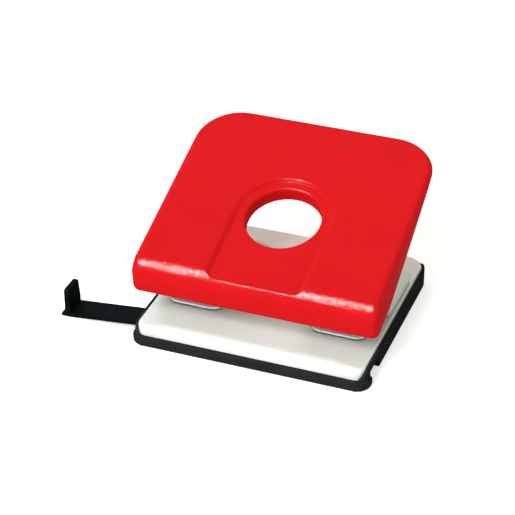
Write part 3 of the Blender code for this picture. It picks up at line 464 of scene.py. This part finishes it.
world = bpy.data.worlds.new("studio")
world.use_nodes = True
scene.world = world
worldTree = world.node_tree
sky = worldTree.nodes["Background"]
rays = addNode(worldTree, "ShaderNodeLightPath")
seen = rays.outputs["Is Camera Ray"]
for kind in ("Is Glossy Ray", "Is Transmission Ray"):
    seen = nodeMath(worldTree, "MAXIMUM", seen, rays.outputs[kind])
strength = mapRange(worldTree, seen, 0.0, 1.0, lighting["ambient"], 1.0)
tint = addNode(worldTree, "ShaderNodeMix", {"Factor": seen}, data_type="RGBA")
tint.inputs["A"].default_value = (*lighting["ambientTint"], 1)
tint.inputs["B"].default_value = (1, 1, 1, 1)
worldTree.links.new(strength, sky.inputs["Strength"])
worldTree.links.new(tint.outputs["Result"], sky.inputs["Color"])

reach = lighting["floorReach"]
floorCorners = [(-reach, -reach, 0), (reach, -reach, 0), (reach, reach, 0), (-reach, reach, 0)]
floor = addObject("floor", floorCorners, [[0, 1, 2, 3]])
floorMaterial = bpy.data.materials.new("floorFinish")
floorMaterial.use_nodes = True
floorTree = floorMaterial.node_tree
floorShader = floorTree.nodes["Principled BSDF"]
floorShader.inputs["Base Color"].default_value = (*lighting["floorColour"], 1)
floorShader.inputs["Roughness"].default_value = 0.9
floorShader.inputs["Specular IOR Level"].default_value = 0.0
floorShader.inputs["Emission Color"].default_value = (1, 1, 1, 1)
floorRays = addNode(floorTree, "ShaderNodeLightPath")
lift = nodeMath(floorTree, "MULTIPLY", floorRays.outputs["Is Camera Ray"], lighting["floorLift"])
floorTree.links.new(lift, floorShader.inputs["Emission Strength"])
floor.data.materials.append(floorMaterial)
print("camera, light and floor ready")


leverPivot = Vector((0, -30 * mm, 38 * mm))
leverPitch = math.radians(18)
leverPlace = Matrix.Translation(leverPivot) @ Matrix.Rotation(leverPitch, 4, "X")

coverSize = metres({
    "width": 134.2,
    "rear": 101.9,
    "front": 19.8,
    "top": 13.5,
    "wall": 2.5,
    "lip": 19.5,
    "rearEdge": 3.0,
    "taper": 24.0,
    "curl": 10.0,
    "rearCorner": 24.5,
    "frontCorner": 4.4,
    "edgeRound": 3.6,
    "flare": 0.7,
    "flareFrom": 57.0,
    "lean": 2.6,
    "leanFrom": -8.0,
    "holeRadius": 20.2,
    "holeY": 32.0,
    "holeLip": 1.3,
    "collarWall": 2.2,
    "collarDepth": 7.7,
    "collarChamfer": 0.4,
    "recessRadius": 25.8,
    "recessDepth": 2.1,
    "recessBacking": 1.5,
    "recessCorner": 3.5,
    "recessSlope": 0.9,
    "recessSideSlope": 1.9,
    "recessRun": 0.2,
    "creaseFlat": 0.6,
    "ribThickness": 1.6,
    "ribHeight": 2.0,
    "ribX": 44.0,
    "ribStart": 30.0,
    "ribEnd": 72.0,
    "crossRibHalf": 60.0,
    "barTop": 8.5,
    "bossRadius": 3.5,
    "bossGap": 0.2,
    "screwHole": 1.56,
    "screwHoleEnd": 10.9,
    "fineEdge": 0.35,
})
recessTilt = 0.010                    # slope of the panel's floor, down towards the front
coverSlices = 12                      # how many strips the cover's width is divided into
recessSteps = 10
rimSteps = 6
screwPlaces = [(x * mm, y * mm) for x, y in ((-12, -8), (12, -8), (-52, 13), (52, 13))]


def coverBlock(name, inset, rear):
    c = coverSize
    half = c["width"] / 2 - inset
    front = -c["front"] + inset
    top = c["top"] - inset
    curl = c["curl"] - inset
    low = c["top"] - c["lip"] - overrun - inset
    profile = arcPoints((front + curl, top - curl), curl, quarter, math.pi, math.radians(4.5))
    profile += [(front, low), (rear, low), (rear, top)]
    block = prism(name, profile, "X", -half, half)
    plan = rectangleLoop(-half, front - overrun, half, rear, 0, c["rearCorner"] - inset)
    return keepInside(block, prism("plan", plan, "Z", low - overrun, top + overrun))


def recessLoop(shrink, lowY):
    c = coverSize
    radius = c["recessRadius"] - shrink
    corner = c["recessCorner"] - shrink
    middle = (0, c["holeY"])
    loop = arcPoints(middle, radius, 0, math.pi, math.radians(3))
    loop += roundedLoop([
        (-radius, c["holeY"], 0),
        (-radius, lowY, corner),
        (radius, lowY, corner),
        (radius, c["holeY"], 0),
    ])[1:-1]
    return loop


def recessDepthAt(y, crease):
    return coverSize["recessDepth"] - recessTilt * (y - crease)


def makeLeverCover():
    c = coverSize
    half = c["width"] / 2
    cover = coverBlock("leverCover", 0, c["rear"])
    roundOff(cover, c["edgeRound"], 5, 50)
    low = c["top"] - c["lip"]
    rearLow = c["top"] - c["rearEdge"]
    softPlan = rectangleLoop(-half, -c["front"], half, c["rear"] + 2 * overrun)
    soft = prism("soft", softPlan, "Z", low, c["top"] + 2 * overrun)
    roundOff(soft, c["frontCorner"], 8)
    keepInside(cover, soft)
    below = roundedLoop([
        (-c["front"], c["top"], 0),
        (-c["front"] - overrun, c["top"], 0),
        (-c["front"] - overrun, low - 2 * overrun, 0),
        (c["rear"] + overrun, low - 2 * overrun, 0),
        (c["rear"] + overrun, rearLow, 0),
        (c["rear"] - c["taper"], rearLow, 0),
        (-c["front"], low, 0),
    ])
    cutAway(cover, prism("below", below, "X", -half - overrun, half + overrun))
    cutAway(cover, coverBlock("hollow", c["wall"], c["rear"] - c["taper"]))

    under = c["top"] - c["wall"]
    ribLow = under - c["ribHeight"]
    ribHigh = under + c["wall"] / 3
    additions = []
    for side in (-1, 1):
        near, far = sorted((side * c["ribX"], side * (c["ribX"] + c["ribThickness"])))
        rib = rectangleLoop(near, c["ribStart"], far, c["ribEnd"] - c["ribThickness"] / 2)
        additions.append(prism("rib", rib, "Z", ribLow, ribHigh))
    crossStart = c["ribEnd"] - c["ribThickness"]
    cross = rectangleLoop(-c["crossRibHalf"], crossStart, c["crossRibHalf"], c["ribEnd"])
    additions.append(prism("crossRib", cross, "Z", ribLow + c["ribThickness"] / 4, ribHigh))
    recessFloor = c["top"] - c["recessDepth"]
    high = under + c["wall"] / 2
    creaseReach = math.sqrt(c["curl"] ** 2 - (c["curl"] - c["recessDepth"]) ** 2)
    crease = -c["front"] + c["curl"] - creaseReach
    backing = recessLoop(-c["wall"], crease + c["wall"] / 2)
    additions.append(prism("backing", backing, "Z", recessFloor - c["recessBacking"], high))
    here = Vector((0, c["holeY"], 0))
    collar = c["holeRadius"] + c["collarWall"]
    collarLow = recessFloor - c["collarDepth"]
    collarTop = recessFloor - c["wall"] / 2
    collarProfile = [
        (0, collarTop),
        (collar, collarTop),
        (collar, collarLow + c["collarChamfer"]),
        (collar - c["collarChamfer"], collarLow),
        (0, collarLow),
    ]
    additions.append(lathed("collar", collarProfile, here, steps=128))
    seat = c["barTop"] + c["bossGap"]
    for x, y in screwPlaces:
        boss = [(0, high), (c["bossRadius"], high), (c["bossRadius"], seat), (0, seat)]
        additions.append(lathed("boss", boss, Vector((x, y, 0)), steps=32))
    for addition in additions:
        joinOn(cover, addition)

    for x, y in screwPlaces:
        hole = [(0, c["screwHoleEnd"]), (c["screwHole"], c["screwHoleEnd"])]
        hole += [(c["screwHole"], c["barTop"]), (0, c["barTop"])]
        cutAway(cover, lathed("screwHole", hole, Vector((x, y, 0)), steps=24))

    # the panel's wall is a soft slope with a rounded foot and brow
    frontY = crease - c["recessRun"]
    rings = []
    for step in range(recessSteps + 1):
        share = step / recessSteps
        shrink = c["recessSlope"] * (1 - 2 * share)
        sideShrink = c["recessSideSlope"] * (1 - 2 * share)
        widen = (c["recessRadius"] - sideShrink) / (c["recessRadius"] - shrink)
        rings.append([
            (x * widen, y, c["top"] - recessDepthAt(y, crease) * (1 - smoothStep(share)))
            for x, y in recessLoop(shrink, frontY)
        ])
    rings.append([(x, y, c["top"] + overrun) for x, y, z in rings[-1]])
    cutAway(cover, stackedRings("recess", rings))
    # a narrow flat along the front edge of the panel takes the light
    tilt = math.acos(1 - c["recessDepth"] / c["curl"]) / 2
    along = Vector((math.cos(tilt), math.sin(tilt)))
    across = Vector((-math.sin(tilt), math.cos(tilt)))
    shaved = Vector((crease, recessFloor)) - across * c["creaseFlat"] * math.tan(tilt) / 2
    corners = [shaved - along * overrun, shaved + along * overrun]
    corners += [corners[1] + across * overrun, corners[0] + across * overrun]
    reach = c["recessRadius"] - c["recessCorner"]
    cutAway(cover, prism("shaving", [tuple(corner) for corner in corners], "X", -reach, reach))

    lip = c["holeLip"]
    radius = c["holeRadius"]
    rimProfile = [(0, overrun), (radius + lip, overrun)]
    for index in range(rimSteps + 1):
        angle = quarter * index / rimSteps
        rimProfile.append((radius + lip * (1 - math.sin(angle)), -lip * (1 - math.cos(angle))))
    rimProfile += [(radius, -4 * overrun), (0, -4 * overrun)]
    rim = Vector((0, c["holeY"], c["top"] - recessDepthAt(c["holeY"], crease)))
    lean = Matrix.Rotation(math.atan(recessTilt), 4, "X")
    cutAway(cover, lathed("fingerHole", rimProfile, rim, lean, 128))
    roundOff(cover, c["fineEdge"], 2, 60)
    weld(cover)

    # long faces are divided, so that their shading follows the shape
    def divide(shape):
        for step in range(1, coverSlices):
            everything = [*shape.verts, *shape.edges, *shape.faces]
            spot = (half * (2 * step / coverSlices - 1), 0, 0)
            bmesh.ops.bisect_plane(shape, geom=everything, plane_co=spot, plane_no=(1, 0, 0))

    editMesh(cover, divide)
    for vertex in cover.data.vertices:
        x, y, z = vertex.co
        depth = min(1, max(0, (c["top"] - z) / c["lip"]))
        outer = smoothStep((abs(x) - c["flareFrom"]) / (half - c["wall"] - c["flareFrom"]))
        ahead = smoothStep((c["leanFrom"] - y) / (c["front"] - c["wall"] + c["leanFrom"]))
        vertex.co.x += math.copysign(c["flare"] * depth * outer, x)
        vertex.co.y -= c["lean"] * depth * ahead
    cover.data.transform(leverPlace)
    shade(cover, 30)
    return finishPiece(cover, materials["redPlastic"], "lever", "red_plastic", "lever_cover")


makeLeverCover()
print("lever cover made")


plateSize = metres({
    "half": 62.4,
    "front": -57.5,
    "rear": 57.5,
    "top": 11.7,
    "sheet": 1.5,
    "roll": 7.0,
    "edgeRound": 1.2,
    "cornerRoll": 4.4,
    "blend": 12.0,
    "frontCorner": 5.2,
    "rearCorner": 10.7,
    "frontLow": 4.9,
    "skirtLow": 8.7,
    "ridgeY": -50.5,
    "ridgeBlend": 1.0,
    "flatInset": 0.4,
    "chipHole": 4.2,
    "rivetHole": 2.06,
})
cornerSteps = 12
sideSteps = 40
rollSteps = 13
pinX, pinY = 40, -17                  # in millimetres
pinPlaces = [(side * pinX * mm, pinY * mm) for side in (-1, 1)]
footRivetPlaces = [
    (side * (pinX + across) * mm, (pinY + back) * mm)
    for side in (-1, 1)
    for across, back in ((-11, 24), (11, 24), (0, 38))
]


def plateEdge():
    # points round the plate with their outward directions
    p = plateSize
    half, front, rear = p["half"], p["front"], p["rear"]
    corners = [
        (half - p["frontCorner"], front + p["frontCorner"], p["frontCorner"], -quarter),
        (half - p["rearCorner"], rear - p["rearCorner"], p["rearCorner"], 0),
        (-half + p["rearCorner"], rear - p["rearCorner"], p["rearCorner"], quarter),
        (-half + p["frontCorner"], front + p["frontCorner"], p["frontCorner"], math.pi),
    ]
    edge = []
    for index, (x, y, radius, start) in enumerate(corners):
        for step in range(cornerSteps + 1):
            angle = start + quarter * step / cornerSteps
            edge.append((x + radius * math.cos(angle), y + radius * math.sin(angle), angle))
        nextX, nextY, nextRadius, nextStart = corners[(index + 1) % 4]
        lastX, lastY, angle = edge[-1]
        toX = nextX + nextRadius * math.cos(nextStart)
        toY = nextY + nextRadius * math.sin(nextStart)
        for step in range(1, sideSteps):
            share = step / sideSteps
            edge.append((lastX + (toX - lastX) * share, lastY + (toY - lastY) * share, angle))
    return edge


def makeBasePlate():
    p = plateSize
    straight = p["half"] - p["frontCorner"]
    rings = [[] for _ in range(rollSteps + 3)]
    for x, y, angle in plateEdge():
        facing = smoothStep(1 - abs(math.remainder(angle + quarter, math.tau)) / quarter)
        nearCorner = smoothStep((straight - abs(x)) / p["blend"])
        if facing >= 1:
            roll = p["cornerRoll"] + (p["roll"] - p["cornerRoll"]) * nearCorner
        else:
            roll = p["edgeRound"] + (p["cornerRoll"] - p["edgeRound"]) * facing
        fall = smoothStep((p["ridgeY"] - y) / p["ridgeBlend"] + 0.5)
        low = p["skirtLow"] + (p["frontLow"] - p["skirtLow"]) * fall
        outward = Vector((math.cos(angle), math.sin(angle)))
        rings[0].append((x, y, min(low, p["top"] - roll)))
        for step in range(rollSteps + 1):
            turn = quarter * step / rollSteps
            inset = roll * (1 - math.cos(turn))
            height = p["top"] - roll * (1 - math.sin(turn))
            rings[step + 1].append((x - outward.x * inset, y - outward.y * inset, height))
        inset = roll + p["flatInset"]
        rings[-1].append((x - outward.x * inset, y - outward.y * inset, p["top"]))
    count = len(rings[0])
    points = [point for ring in rings for point in ring]
    cap = list(range(len(points) - count, len(points)))
    plate = addObject("basePlate", points, ringFaces(len(rings), count) + [cap])
    thick = plate.modifiers.new("sheet", "SOLIDIFY")
    thick.thickness = p["sheet"]
    thick.offset = -1
    thick.use_even_offset = True
    bake(plate)
    deep, high = p["top"] - 2 * p["sheet"], p["top"] + overrun
    holes = [(place, p["chipHole"], 48) for place in pinPlaces]
    holes += [(place, p["rivetHole"], 32) for place in footRivetPlaces]
    for place, radius, sides in holes:
        cutAway(plate, prism("hole", circlePoints(place, radius, sides), "Z", deep, high))
    shade(plate, 30)
    return finishPiece(plate, materials["whitePaint"], "base", "white_paint", "base_plate")


makeBasePlate()
print("base plate made")


traySize = metres({
    "half": 64.2,
    "front": -59.3,
    "rear": 59.3,
    "frontCorner": 7.0,
    "rearCorner": 12.5,
    "wall": 1.5,
    "floor": 1.5,
    "frontHeight": 5.8,
    "rimTop": 10.9,
    "rearRim": 9.3,
    "rearRimReach": 3.0,
    "roll": 7.0,
    "rollY": -50.5,
    "bumperSide": 1.4,
    "bumperFront": 0.3,
    "bumperGap": 0.3,
    "bumperHeight": 5.0,
    "bumperCorner": 7.5,
    "bumperRound": 1.2,
    "channelFront": -48.7,
    "channelBack": -33.7,
    "channelTop": 6.9,
    "channelRoof": 1.2,
    "ledgeTop": 3.9,
    "ledgeThickness": 1.2,
    "ledgeReach": 1.3,
    "ledgeLength": 9.0,
    "ledgePitch": 34.0,
    "ledgeFirst": -14.0,
    "rimRound": 0.45,
})


def makeChipTray():
    t = traySize
    half, front, rear = t["half"], t["front"], t["rear"]
    centre = (t["rollY"], t["rimTop"] - t["roll"])
    end = math.pi - math.asin((t["frontHeight"] - centre[1]) / t["roll"])
    profile = arcPoints(centre, t["roll"], quarter, end, math.radians(4))
    profile += [(front, t["frontHeight"]), (front, 0), (rear, 0), (rear, t["rearRim"])]
    profile.append((rear - t["rearRimReach"], t["rearRim"]))
    profile.append((rear - 2 * t["rearRimReach"], t["rimTop"]))
    tray = prism("chipTray", profile, "X", -half, half)
    plan = rectangleLoop(-half, front, half, rear, t["frontCorner"], t["rearCorner"])
    keepInside(tray, prism("plan", plan, "Z", -overrun, t["rimTop"] + overrun))
    side = half + t["bumperSide"]
    noseFront, noseBack = front - t["bumperFront"], t["channelFront"] - t["bumperGap"]
    nose = rectangleLoop(-side, noseFront, side, noseBack, t["bumperCorner"])
    bumper = prism("bumper", nose, "Z", 0, t["bumperHeight"])
    roundOff(bumper, t["bumperRound"], 4, 50)
    joinOn(tray, bumper)

    inner = half - t["wall"]
    frontInner = front + t["wall"]
    rearInner = rear - t["wall"]
    roof = t["channelTop"] + t["channelRoof"]
    high = t["rimTop"] + 2 * overrun
    pockets = [
        (frontInner, high),
        (frontInner, t["floor"]),
        (t["channelFront"] - t["wall"], t["floor"]),
        (t["channelFront"] - t["wall"], roof),
        (t["channelBack"] + t["wall"], roof),
        (t["channelBack"] + t["wall"], t["floor"]),
        (rearInner, t["floor"]),
        (rearInner, high),
    ]
    hollow = prism("hollow", pockets, "X", -inner, inner)
    corners = (t["frontCorner"] - t["wall"], t["rearCorner"] - t["wall"])
    innerPlan = rectangleLoop(-inner, frontInner, inner, rearInner, *corners)
    keepInside(hollow, prism("plan", innerPlan, "Z", -overrun, high + overrun))
    cutAway(tray, hollow)
    channel = rectangleLoop(t["channelFront"], -overrun, t["channelBack"], t["channelTop"])
    cutAway(tray, prism("channel", channel, "X", -side - overrun, side + overrun))
    roundOff(tray, t["rimRound"], 3, 50)
    weld(tray)
    ledgeLow = t["ledgeTop"] - t["ledgeThickness"]
    rooted = t["wall"] / 2
    ledgeSpans = (
        (t["channelFront"] - rooted, t["channelFront"] + t["ledgeReach"]),
        (t["channelBack"] - t["ledgeReach"], t["channelBack"] + rooted),
    )
    for index in range(3):
        start = t["ledgeFirst"] + index * t["ledgePitch"] - t["ledgeLength"] / 2
        for ledgeFront, ledgeBack in ledgeSpans:
            ledge = rectangleLoop(ledgeFront, ledgeLow, ledgeBack, t["ledgeTop"])
            joinOn(tray, prism("ledge", ledge, "X", start, start + t["ledgeLength"]))

    # nothing of the tray goes through the table
    def settle(shape):
        for vertex in shape.verts:
            vertex.co.z = max(vertex.co.z, 0)

    editMesh(tray, settle)
    shade(tray, 32)
    return finishPiece(tray, materials["blackPlastic"], "tray", "black_plastic", "chip_tray")


makeChipTray()
print("chip tray made")


def fitRefined(piece, node, edge, look, body, slotName, *bevel):
    # the edge's width is in millimetres
    item = refined(piece, node, edge * mm, *bevel)
    finishPiece(item, materials[look], body, slotName, node)


for side in ("left", "right"):
    pinBody = f"{side}_pin"
    for piece, node, edge, look, body, slotName in (
        ("PunchFrame", "punch_frame", 0.25, "framePaint", "base", "white_paint"),
        ("GuidePlate", "guide_plate", 0.25, "zincSteel", "base", "zinc_steel"),
        ("RodClip", "rod_clip", 0.12, "springSteel", "base", "spring_steel"),
        ("PinClip", "pin_clip", 0.12, "springSteel", pinBody, "spring_steel"),
        ("SpringWasher", "spring_washer", 0.15, "zincSteel", pinBody, "zinc_steel"),
        ("PunchPin", "punch_pin", 0, "brightSteel", pinBody, "bright_steel"),
    ):
        fitRefined(f"{side}{piece}", f"{side}_{node}", edge, look, body, slotName)
fitRefined("pressureBar", "pressure_bar", 0.3, "zincSteel", "lever", "zinc_steel")
fitRefined("hingeRod", "hinge_rod", 0, "brightSteel", "base", "bright_steel")
fitRefined("paperGuide", "paper_guide", 0.3, "guidePlastic", "guide", "black_plastic", 2, 50)
print("pressed parts made")


def newTree(name, sizes):
    # takes points and one number for each size
    tree = bpy.data.node_groups.new(name, "GeometryNodeTree")
    tree.interface.new_socket("Geometry", in_out="INPUT", socket_type="NodeSocketGeometry")
    for label, value in sizes.items():
        socket = tree.interface.new_socket(label, in_out="INPUT", socket_type="NodeSocketFloat")
        socket.default_value = value
    tree.interface.new_socket("Geometry", in_out="OUTPUT", socket_type="NodeSocketGeometry")
    return tree


def treeInputs(tree):
    return addNode(tree, "NodeGroupInput").outputs


def sumOf(tree, given, terms):
    # a socket that adds named inputs, each times its own share
    total = None
    for label, share in terms:
        part = nodeMath(tree, "MULTIPLY", given[label], share)
        total = part if total is None else nodeMath(tree, "ADD", total, part)
    return total if total is not None else 0.0


def turnedMesh(tree, given, rows, steps):
    # a grid whose rows take the radius and height of each profile point
    counts = {"Vertices X": steps + 1, "Vertices Y": len(rows)}
    grid = addNode(tree, "GeometryNodeMeshGrid", {"Size X": 1.0, "Size Y": 1.0, **counts})
    position = addNode(tree, "GeometryNodeInputPosition").outputs[0]
    place = addNode(tree, "ShaderNodeSeparateXYZ", {0: position}).outputs
    angle = mapRange(tree, place["X"], -0.5, 0.5, 0.0, math.tau)
    row = mapRange(tree, place["Y"], -0.5, 0.5, 0.0, float(len(rows) - 1))
    rowNumber = addNode(tree, "FunctionNodeFloatToInt", {0: row}, rounding_mode="ROUND").outputs[0]
    picks = []
    for part in (0, 1):
        pick = addNode(tree, "GeometryNodeIndexSwitch", data_type="FLOAT")
        while len(pick.index_switch_items) < len(rows):
            pick.index_switch_items.new()
        tree.links.new(rowNumber, pick.inputs["Index"])
        for index, rowTerms in enumerate(rows):
            value = sumOf(tree, given, rowTerms[part])
            if isinstance(value, bpy.types.NodeSocket):
                tree.links.new(value, pick.inputs[index + 1])
            else:
                pick.inputs[index + 1].default_value = value
        picks.append(pick.outputs[0])
    radius, height = picks
    x = nodeMath(tree, "MULTIPLY", radius, nodeMath(tree, "COSINE", angle))
    y = nodeMath(tree, "MULTIPLY", radius, nodeMath(tree, "SINE", angle))
    spot = addNode(tree, "ShaderNodeCombineXYZ", {"X": x, "Y": y, "Z": height}).outputs[0]
    moved = addNode(
        tree, "GeometryNodeSetPosition", {"Geometry": grid.outputs["Mesh"], "Position": spot}
    ).outputs["Geometry"]
    return addNode(
        tree, "GeometryNodeMergeByDistance", {"Geometry": moved, "Distance": weldDistance}
    ).outputs["Geometry"]


def scatterOnSeats(tree, given, shape, material):
    # one copy on each seat point, along the seat's own direction
    along = addNode(
        tree, "GeometryNodeInputNamedAttribute", {"Name": "along"}, data_type="FLOAT_VECTOR"
    ).outputs["Attribute"]
    turn = addNode(tree, "FunctionNodeAlignRotationToVector", {"Vector": along}, axis="Z")
    copies = addNode(
        tree,
        "GeometryNodeInstanceOnPoints",
        {"Points": given["Geometry"], "Instance": shape, "Rotation": turn.outputs["Rotation"]},
    )
    real = addNode(tree, "GeometryNodeRealizeInstances", {"Geometry": copies.outputs["Instances"]})
    bare = real.outputs["Geometry"]
    dressed = addNode(tree, "GeometryNodeSetMaterial", {"Geometry": bare, "Material": material})
    addNode(tree, "NodeGroupOutput", {"Geometry": dressed.outputs["Geometry"]})


def growFromTree(name, tree, seats, values):
    mesh = bpy.data.meshes.new(name)
    mesh.from_pydata([seat[0] for seat in seats], [], [])
    along = mesh.attributes.new("along", "FLOAT_VECTOR", "POINT")
    for index, seat in enumerate(seats):
        along.data[index].vector = seat[1]
    item = bpy.data.objects.new(name, mesh)
    scene.collection.objects.link(item)
    grow = item.modifiers.new("grow", "NODES")
    grow.node_group = tree
    for socket in tree.interface.items_tree:
        if socket.in_out == "INPUT" and socket.name in values:
            grow[socket.identifier] = values[socket.name]
    bake(item)
    editMesh(item, faceOutwards)
    return shade(item, 35)


rivetSize = metres({"shank": 2.0, "head": 3.6, "dome": 1.4, "grip": 3.9, "tail": 1.12})
domeSteps = 6
domeTurns = [quarter * step / domeSteps for step in range(domeSteps + 1)]
rivetRows = [([("head", math.sin(turn))], [("dome", math.cos(turn))]) for turn in domeTurns]
rivetRows += [
    ([("shank", 1.0)], []),
    ([("shank", 1.0)], [("grip", -1.0)]),
    ([("head", 0.96)], [("grip", -1.0)]),
    ([("head", 1.0)], [("grip", -1.0), ("tail", -0.15)]),
    ([("head", 1.0)], [("grip", -1.0), ("tail", -0.5)]),
    ([("head", 0.8)], [("grip", -1.0), ("tail", -1.0)]),
    ([], [("grip", -1.0), ("tail", -1.0)]),
]
rivetTree = newTree("rivetTree", rivetSize)
rivetGiven = treeInputs(rivetTree)
rivetMesh = turnedMesh(rivetTree, rivetGiven, rivetRows, 32)
scatterOnSeats(rivetTree, rivetGiven, rivetMesh, materials["zincSteel"])

footHeadSeat = 14.0 * mm
footSeats = [(Vector((x, y, footHeadSeat)), (0, 0, 1)) for x, y in footRivetPlaces]
footRivets = growFromTree("footRivets", rivetTree, footSeats, rivetSize)
footNodes = [f"{side}_foot_rivet_{index}" for side in ("left", "right") for index in (1, 2, 3)]
finishPiece(footRivets, materials["zincSteel"], "base", "zinc_steel", *footNodes)

earRivetSize = metres({"shank": 1.5, "head": 2.7, "dome": 1.0, "grip": 4.5, "tail": 0.8})
earFaces = (19.9 * mm, 61.1 * mm)     # the inner ear's face and the outer ear's, from the middle
earY, earZ = -9 * mm, 24.1 * mm
earSeats = [
    (Vector((side * face, earY, earZ)), (side * outwards, 0, 0))
    for side in (-1, 1)
    for face, outwards in zip(earFaces, (-1, 1))
]
earRivets = growFromTree("earRivets", rivetTree, earSeats, earRivetSize)
earNodes = [f"{side}_{kind}_ear_rivet" for side in ("left", "right") for kind in ("inner", "outer")]
finishPiece(earRivets, materials["zincSteel"], "base", "zinc_steel", *earNodes)
print("rivets made")

screwSize = metres({
    "shank": 1.5,
    "head": 2.8,
    "headHeight": 1.8,
    "length": 4.2,
    "slotWidth": 0.7,
    "slotLength": 3.2,
})
screwTree = newTree("screwTree", screwSize)
screwGiven = treeInputs(screwTree)
screwRows = [
    ([], [("length", 1.0)]),
    ([("shank", 0.85)], [("length", 1.0)]),
    ([("shank", 1.0)], [("length", 0.93)]),
    ([("shank", 1.0)], []),
    ([("head", 0.96)], []),
    ([("head", 1.0)], [("headHeight", -0.08)]),
    ([("head", 1.0)], [("headHeight", -0.45)]),
    ([("head", 0.93)], [("headHeight", -0.75)]),
    ([("head", 0.78)], [("headHeight", -0.95)]),
    ([("head", 0.6)], [("headHeight", -1.0)]),
    ([], [("headHeight", -1.0)]),
]
screwMesh = turnedMesh(screwTree, screwGiven, screwRows, 32)
flipped = addNode(screwTree, "GeometryNodeFlipFaces", {"Mesh": screwMesh}).outputs["Mesh"]
slotDepth = sumOf(screwTree, screwGiven, [("headHeight", 1.0)])
slotHeight = sumOf(screwTree, screwGiven, [("headHeight", -1.0)])
blades = []
for alongX, alongY in (("slotLength", "slotWidth"), ("slotWidth", "slotLength")):
    lengths = {"X": screwGiven[alongX], "Y": screwGiven[alongY], "Z": slotDepth}
    size = addNode(screwTree, "ShaderNodeCombineXYZ", lengths).outputs[0]
    blade = addNode(screwTree, "GeometryNodeMeshCube", {"Size": size}).outputs["Mesh"]
    drop = addNode(screwTree, "ShaderNodeCombineXYZ", {"Z": slotHeight}).outputs[0]
    moved = addNode(screwTree, "GeometryNodeTransform", {"Geometry": blade, "Translation": drop})
    blades.append(moved.outputs["Geometry"])
driven = addNode(screwTree, "GeometryNodeMeshBoolean", operation="DIFFERENCE", solver="EXACT")
screwTree.links.new(flipped, driven.inputs["Mesh 1"])
for blade in blades:
    screwTree.links.new(blade, driven.inputs["Mesh 2"])
scatterOnSeats(screwTree, screwGiven, driven.outputs["Mesh"], materials["zincSteel"])
screwAxis = leverPlace.to_3x3() @ Vector((0, 0, 1))
screwHeadSeat = 6.4 * mm
screwSeats = [(leverPlace @ Vector((x, y, screwHeadSeat)), screwAxis) for x, y in screwPlaces]
coverScrews = growFromTree("coverScrews", screwTree, screwSeats, screwSize)
screwNodes = [f"cover_screw_{index}" for index in (1, 2, 3, 4)]
finishPiece(coverScrews, materials["zincSteel"], "lever", "zinc_steel", *screwNodes)
print("screws made")


springSize = {
    **metres({"coil": 5.4, "wire": 0.6, "low": 19.8, "high": 41.49}),
    "turns": 7.0,
    "closing": 0.25,                  # share by which the end turns lie closer
}
springTree = newTree("springTree", springSize)
springGiven = treeInputs(springTree)
line = addNode(springTree, "GeometryNodeCurvePrimitiveLine", {"End": (0.0, 0.0, 1.0)})
coilPoints = {"Curve": line.outputs[0], "Count": 225}
finer = addNode(springTree, "GeometryNodeResampleCurve", coilPoints)
share = addNode(springTree, "GeometryNodeSplineParameter").outputs["Factor"]


def springMath(operation, *values):
    return nodeMath(springTree, operation, *values)


wholeTurn = springMath("MULTIPLY", share, math.tau)
coilAngle = springMath("MULTIPLY", wholeTurn, springGiven["turns"])
ripple = springMath("DIVIDE", springMath("SINE", wholeTurn), math.tau)
rise = springMath("SUBTRACT", share, springMath("MULTIPLY", ripple, springGiven["closing"]))
span = springMath("SUBTRACT", springGiven["high"], springGiven["low"])
height = springMath("ADD", springMath("MULTIPLY", rise, span), springGiven["low"])
coilPlace = addNode(springTree, "ShaderNodeCombineXYZ", {
    "X": springMath("MULTIPLY", springMath("COSINE", coilAngle), springGiven["coil"]),
    "Y": springMath("MULTIPLY", springMath("SINE", coilAngle), springGiven["coil"]),
    "Z": height,
})
wound = addNode(
    springTree,
    "GeometryNodeSetPosition",
    {"Geometry": finer.outputs[0], "Position": coilPlace.outputs[0]},
)
section = addNode(
    springTree,
    "GeometryNodeCurvePrimitiveCircle",
    {"Resolution": 12, "Radius": springGiven["wire"]},
)
wireMesh = addNode(
    springTree,
    "GeometryNodeCurveToMesh",
    {"Curve": wound.outputs[0], "Profile Curve": section.outputs[0], "Fill Caps": True},
)
scatterOnSeats(springTree, springGiven, wireMesh.outputs[0], materials["springSteel"])
for side, (x, y) in zip(("left", "right"), pinPlaces):
    seats = [(Vector((x, y, 0)), (0, 0, 1))]
    spring = growFromTree(f"{side}ReturnSpring", springTree, seats, springSize)
    finishPiece(spring, materials["springSteel"], "base", "spring_steel", f"{side}_return_spring")
    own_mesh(spring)
print("springs made")
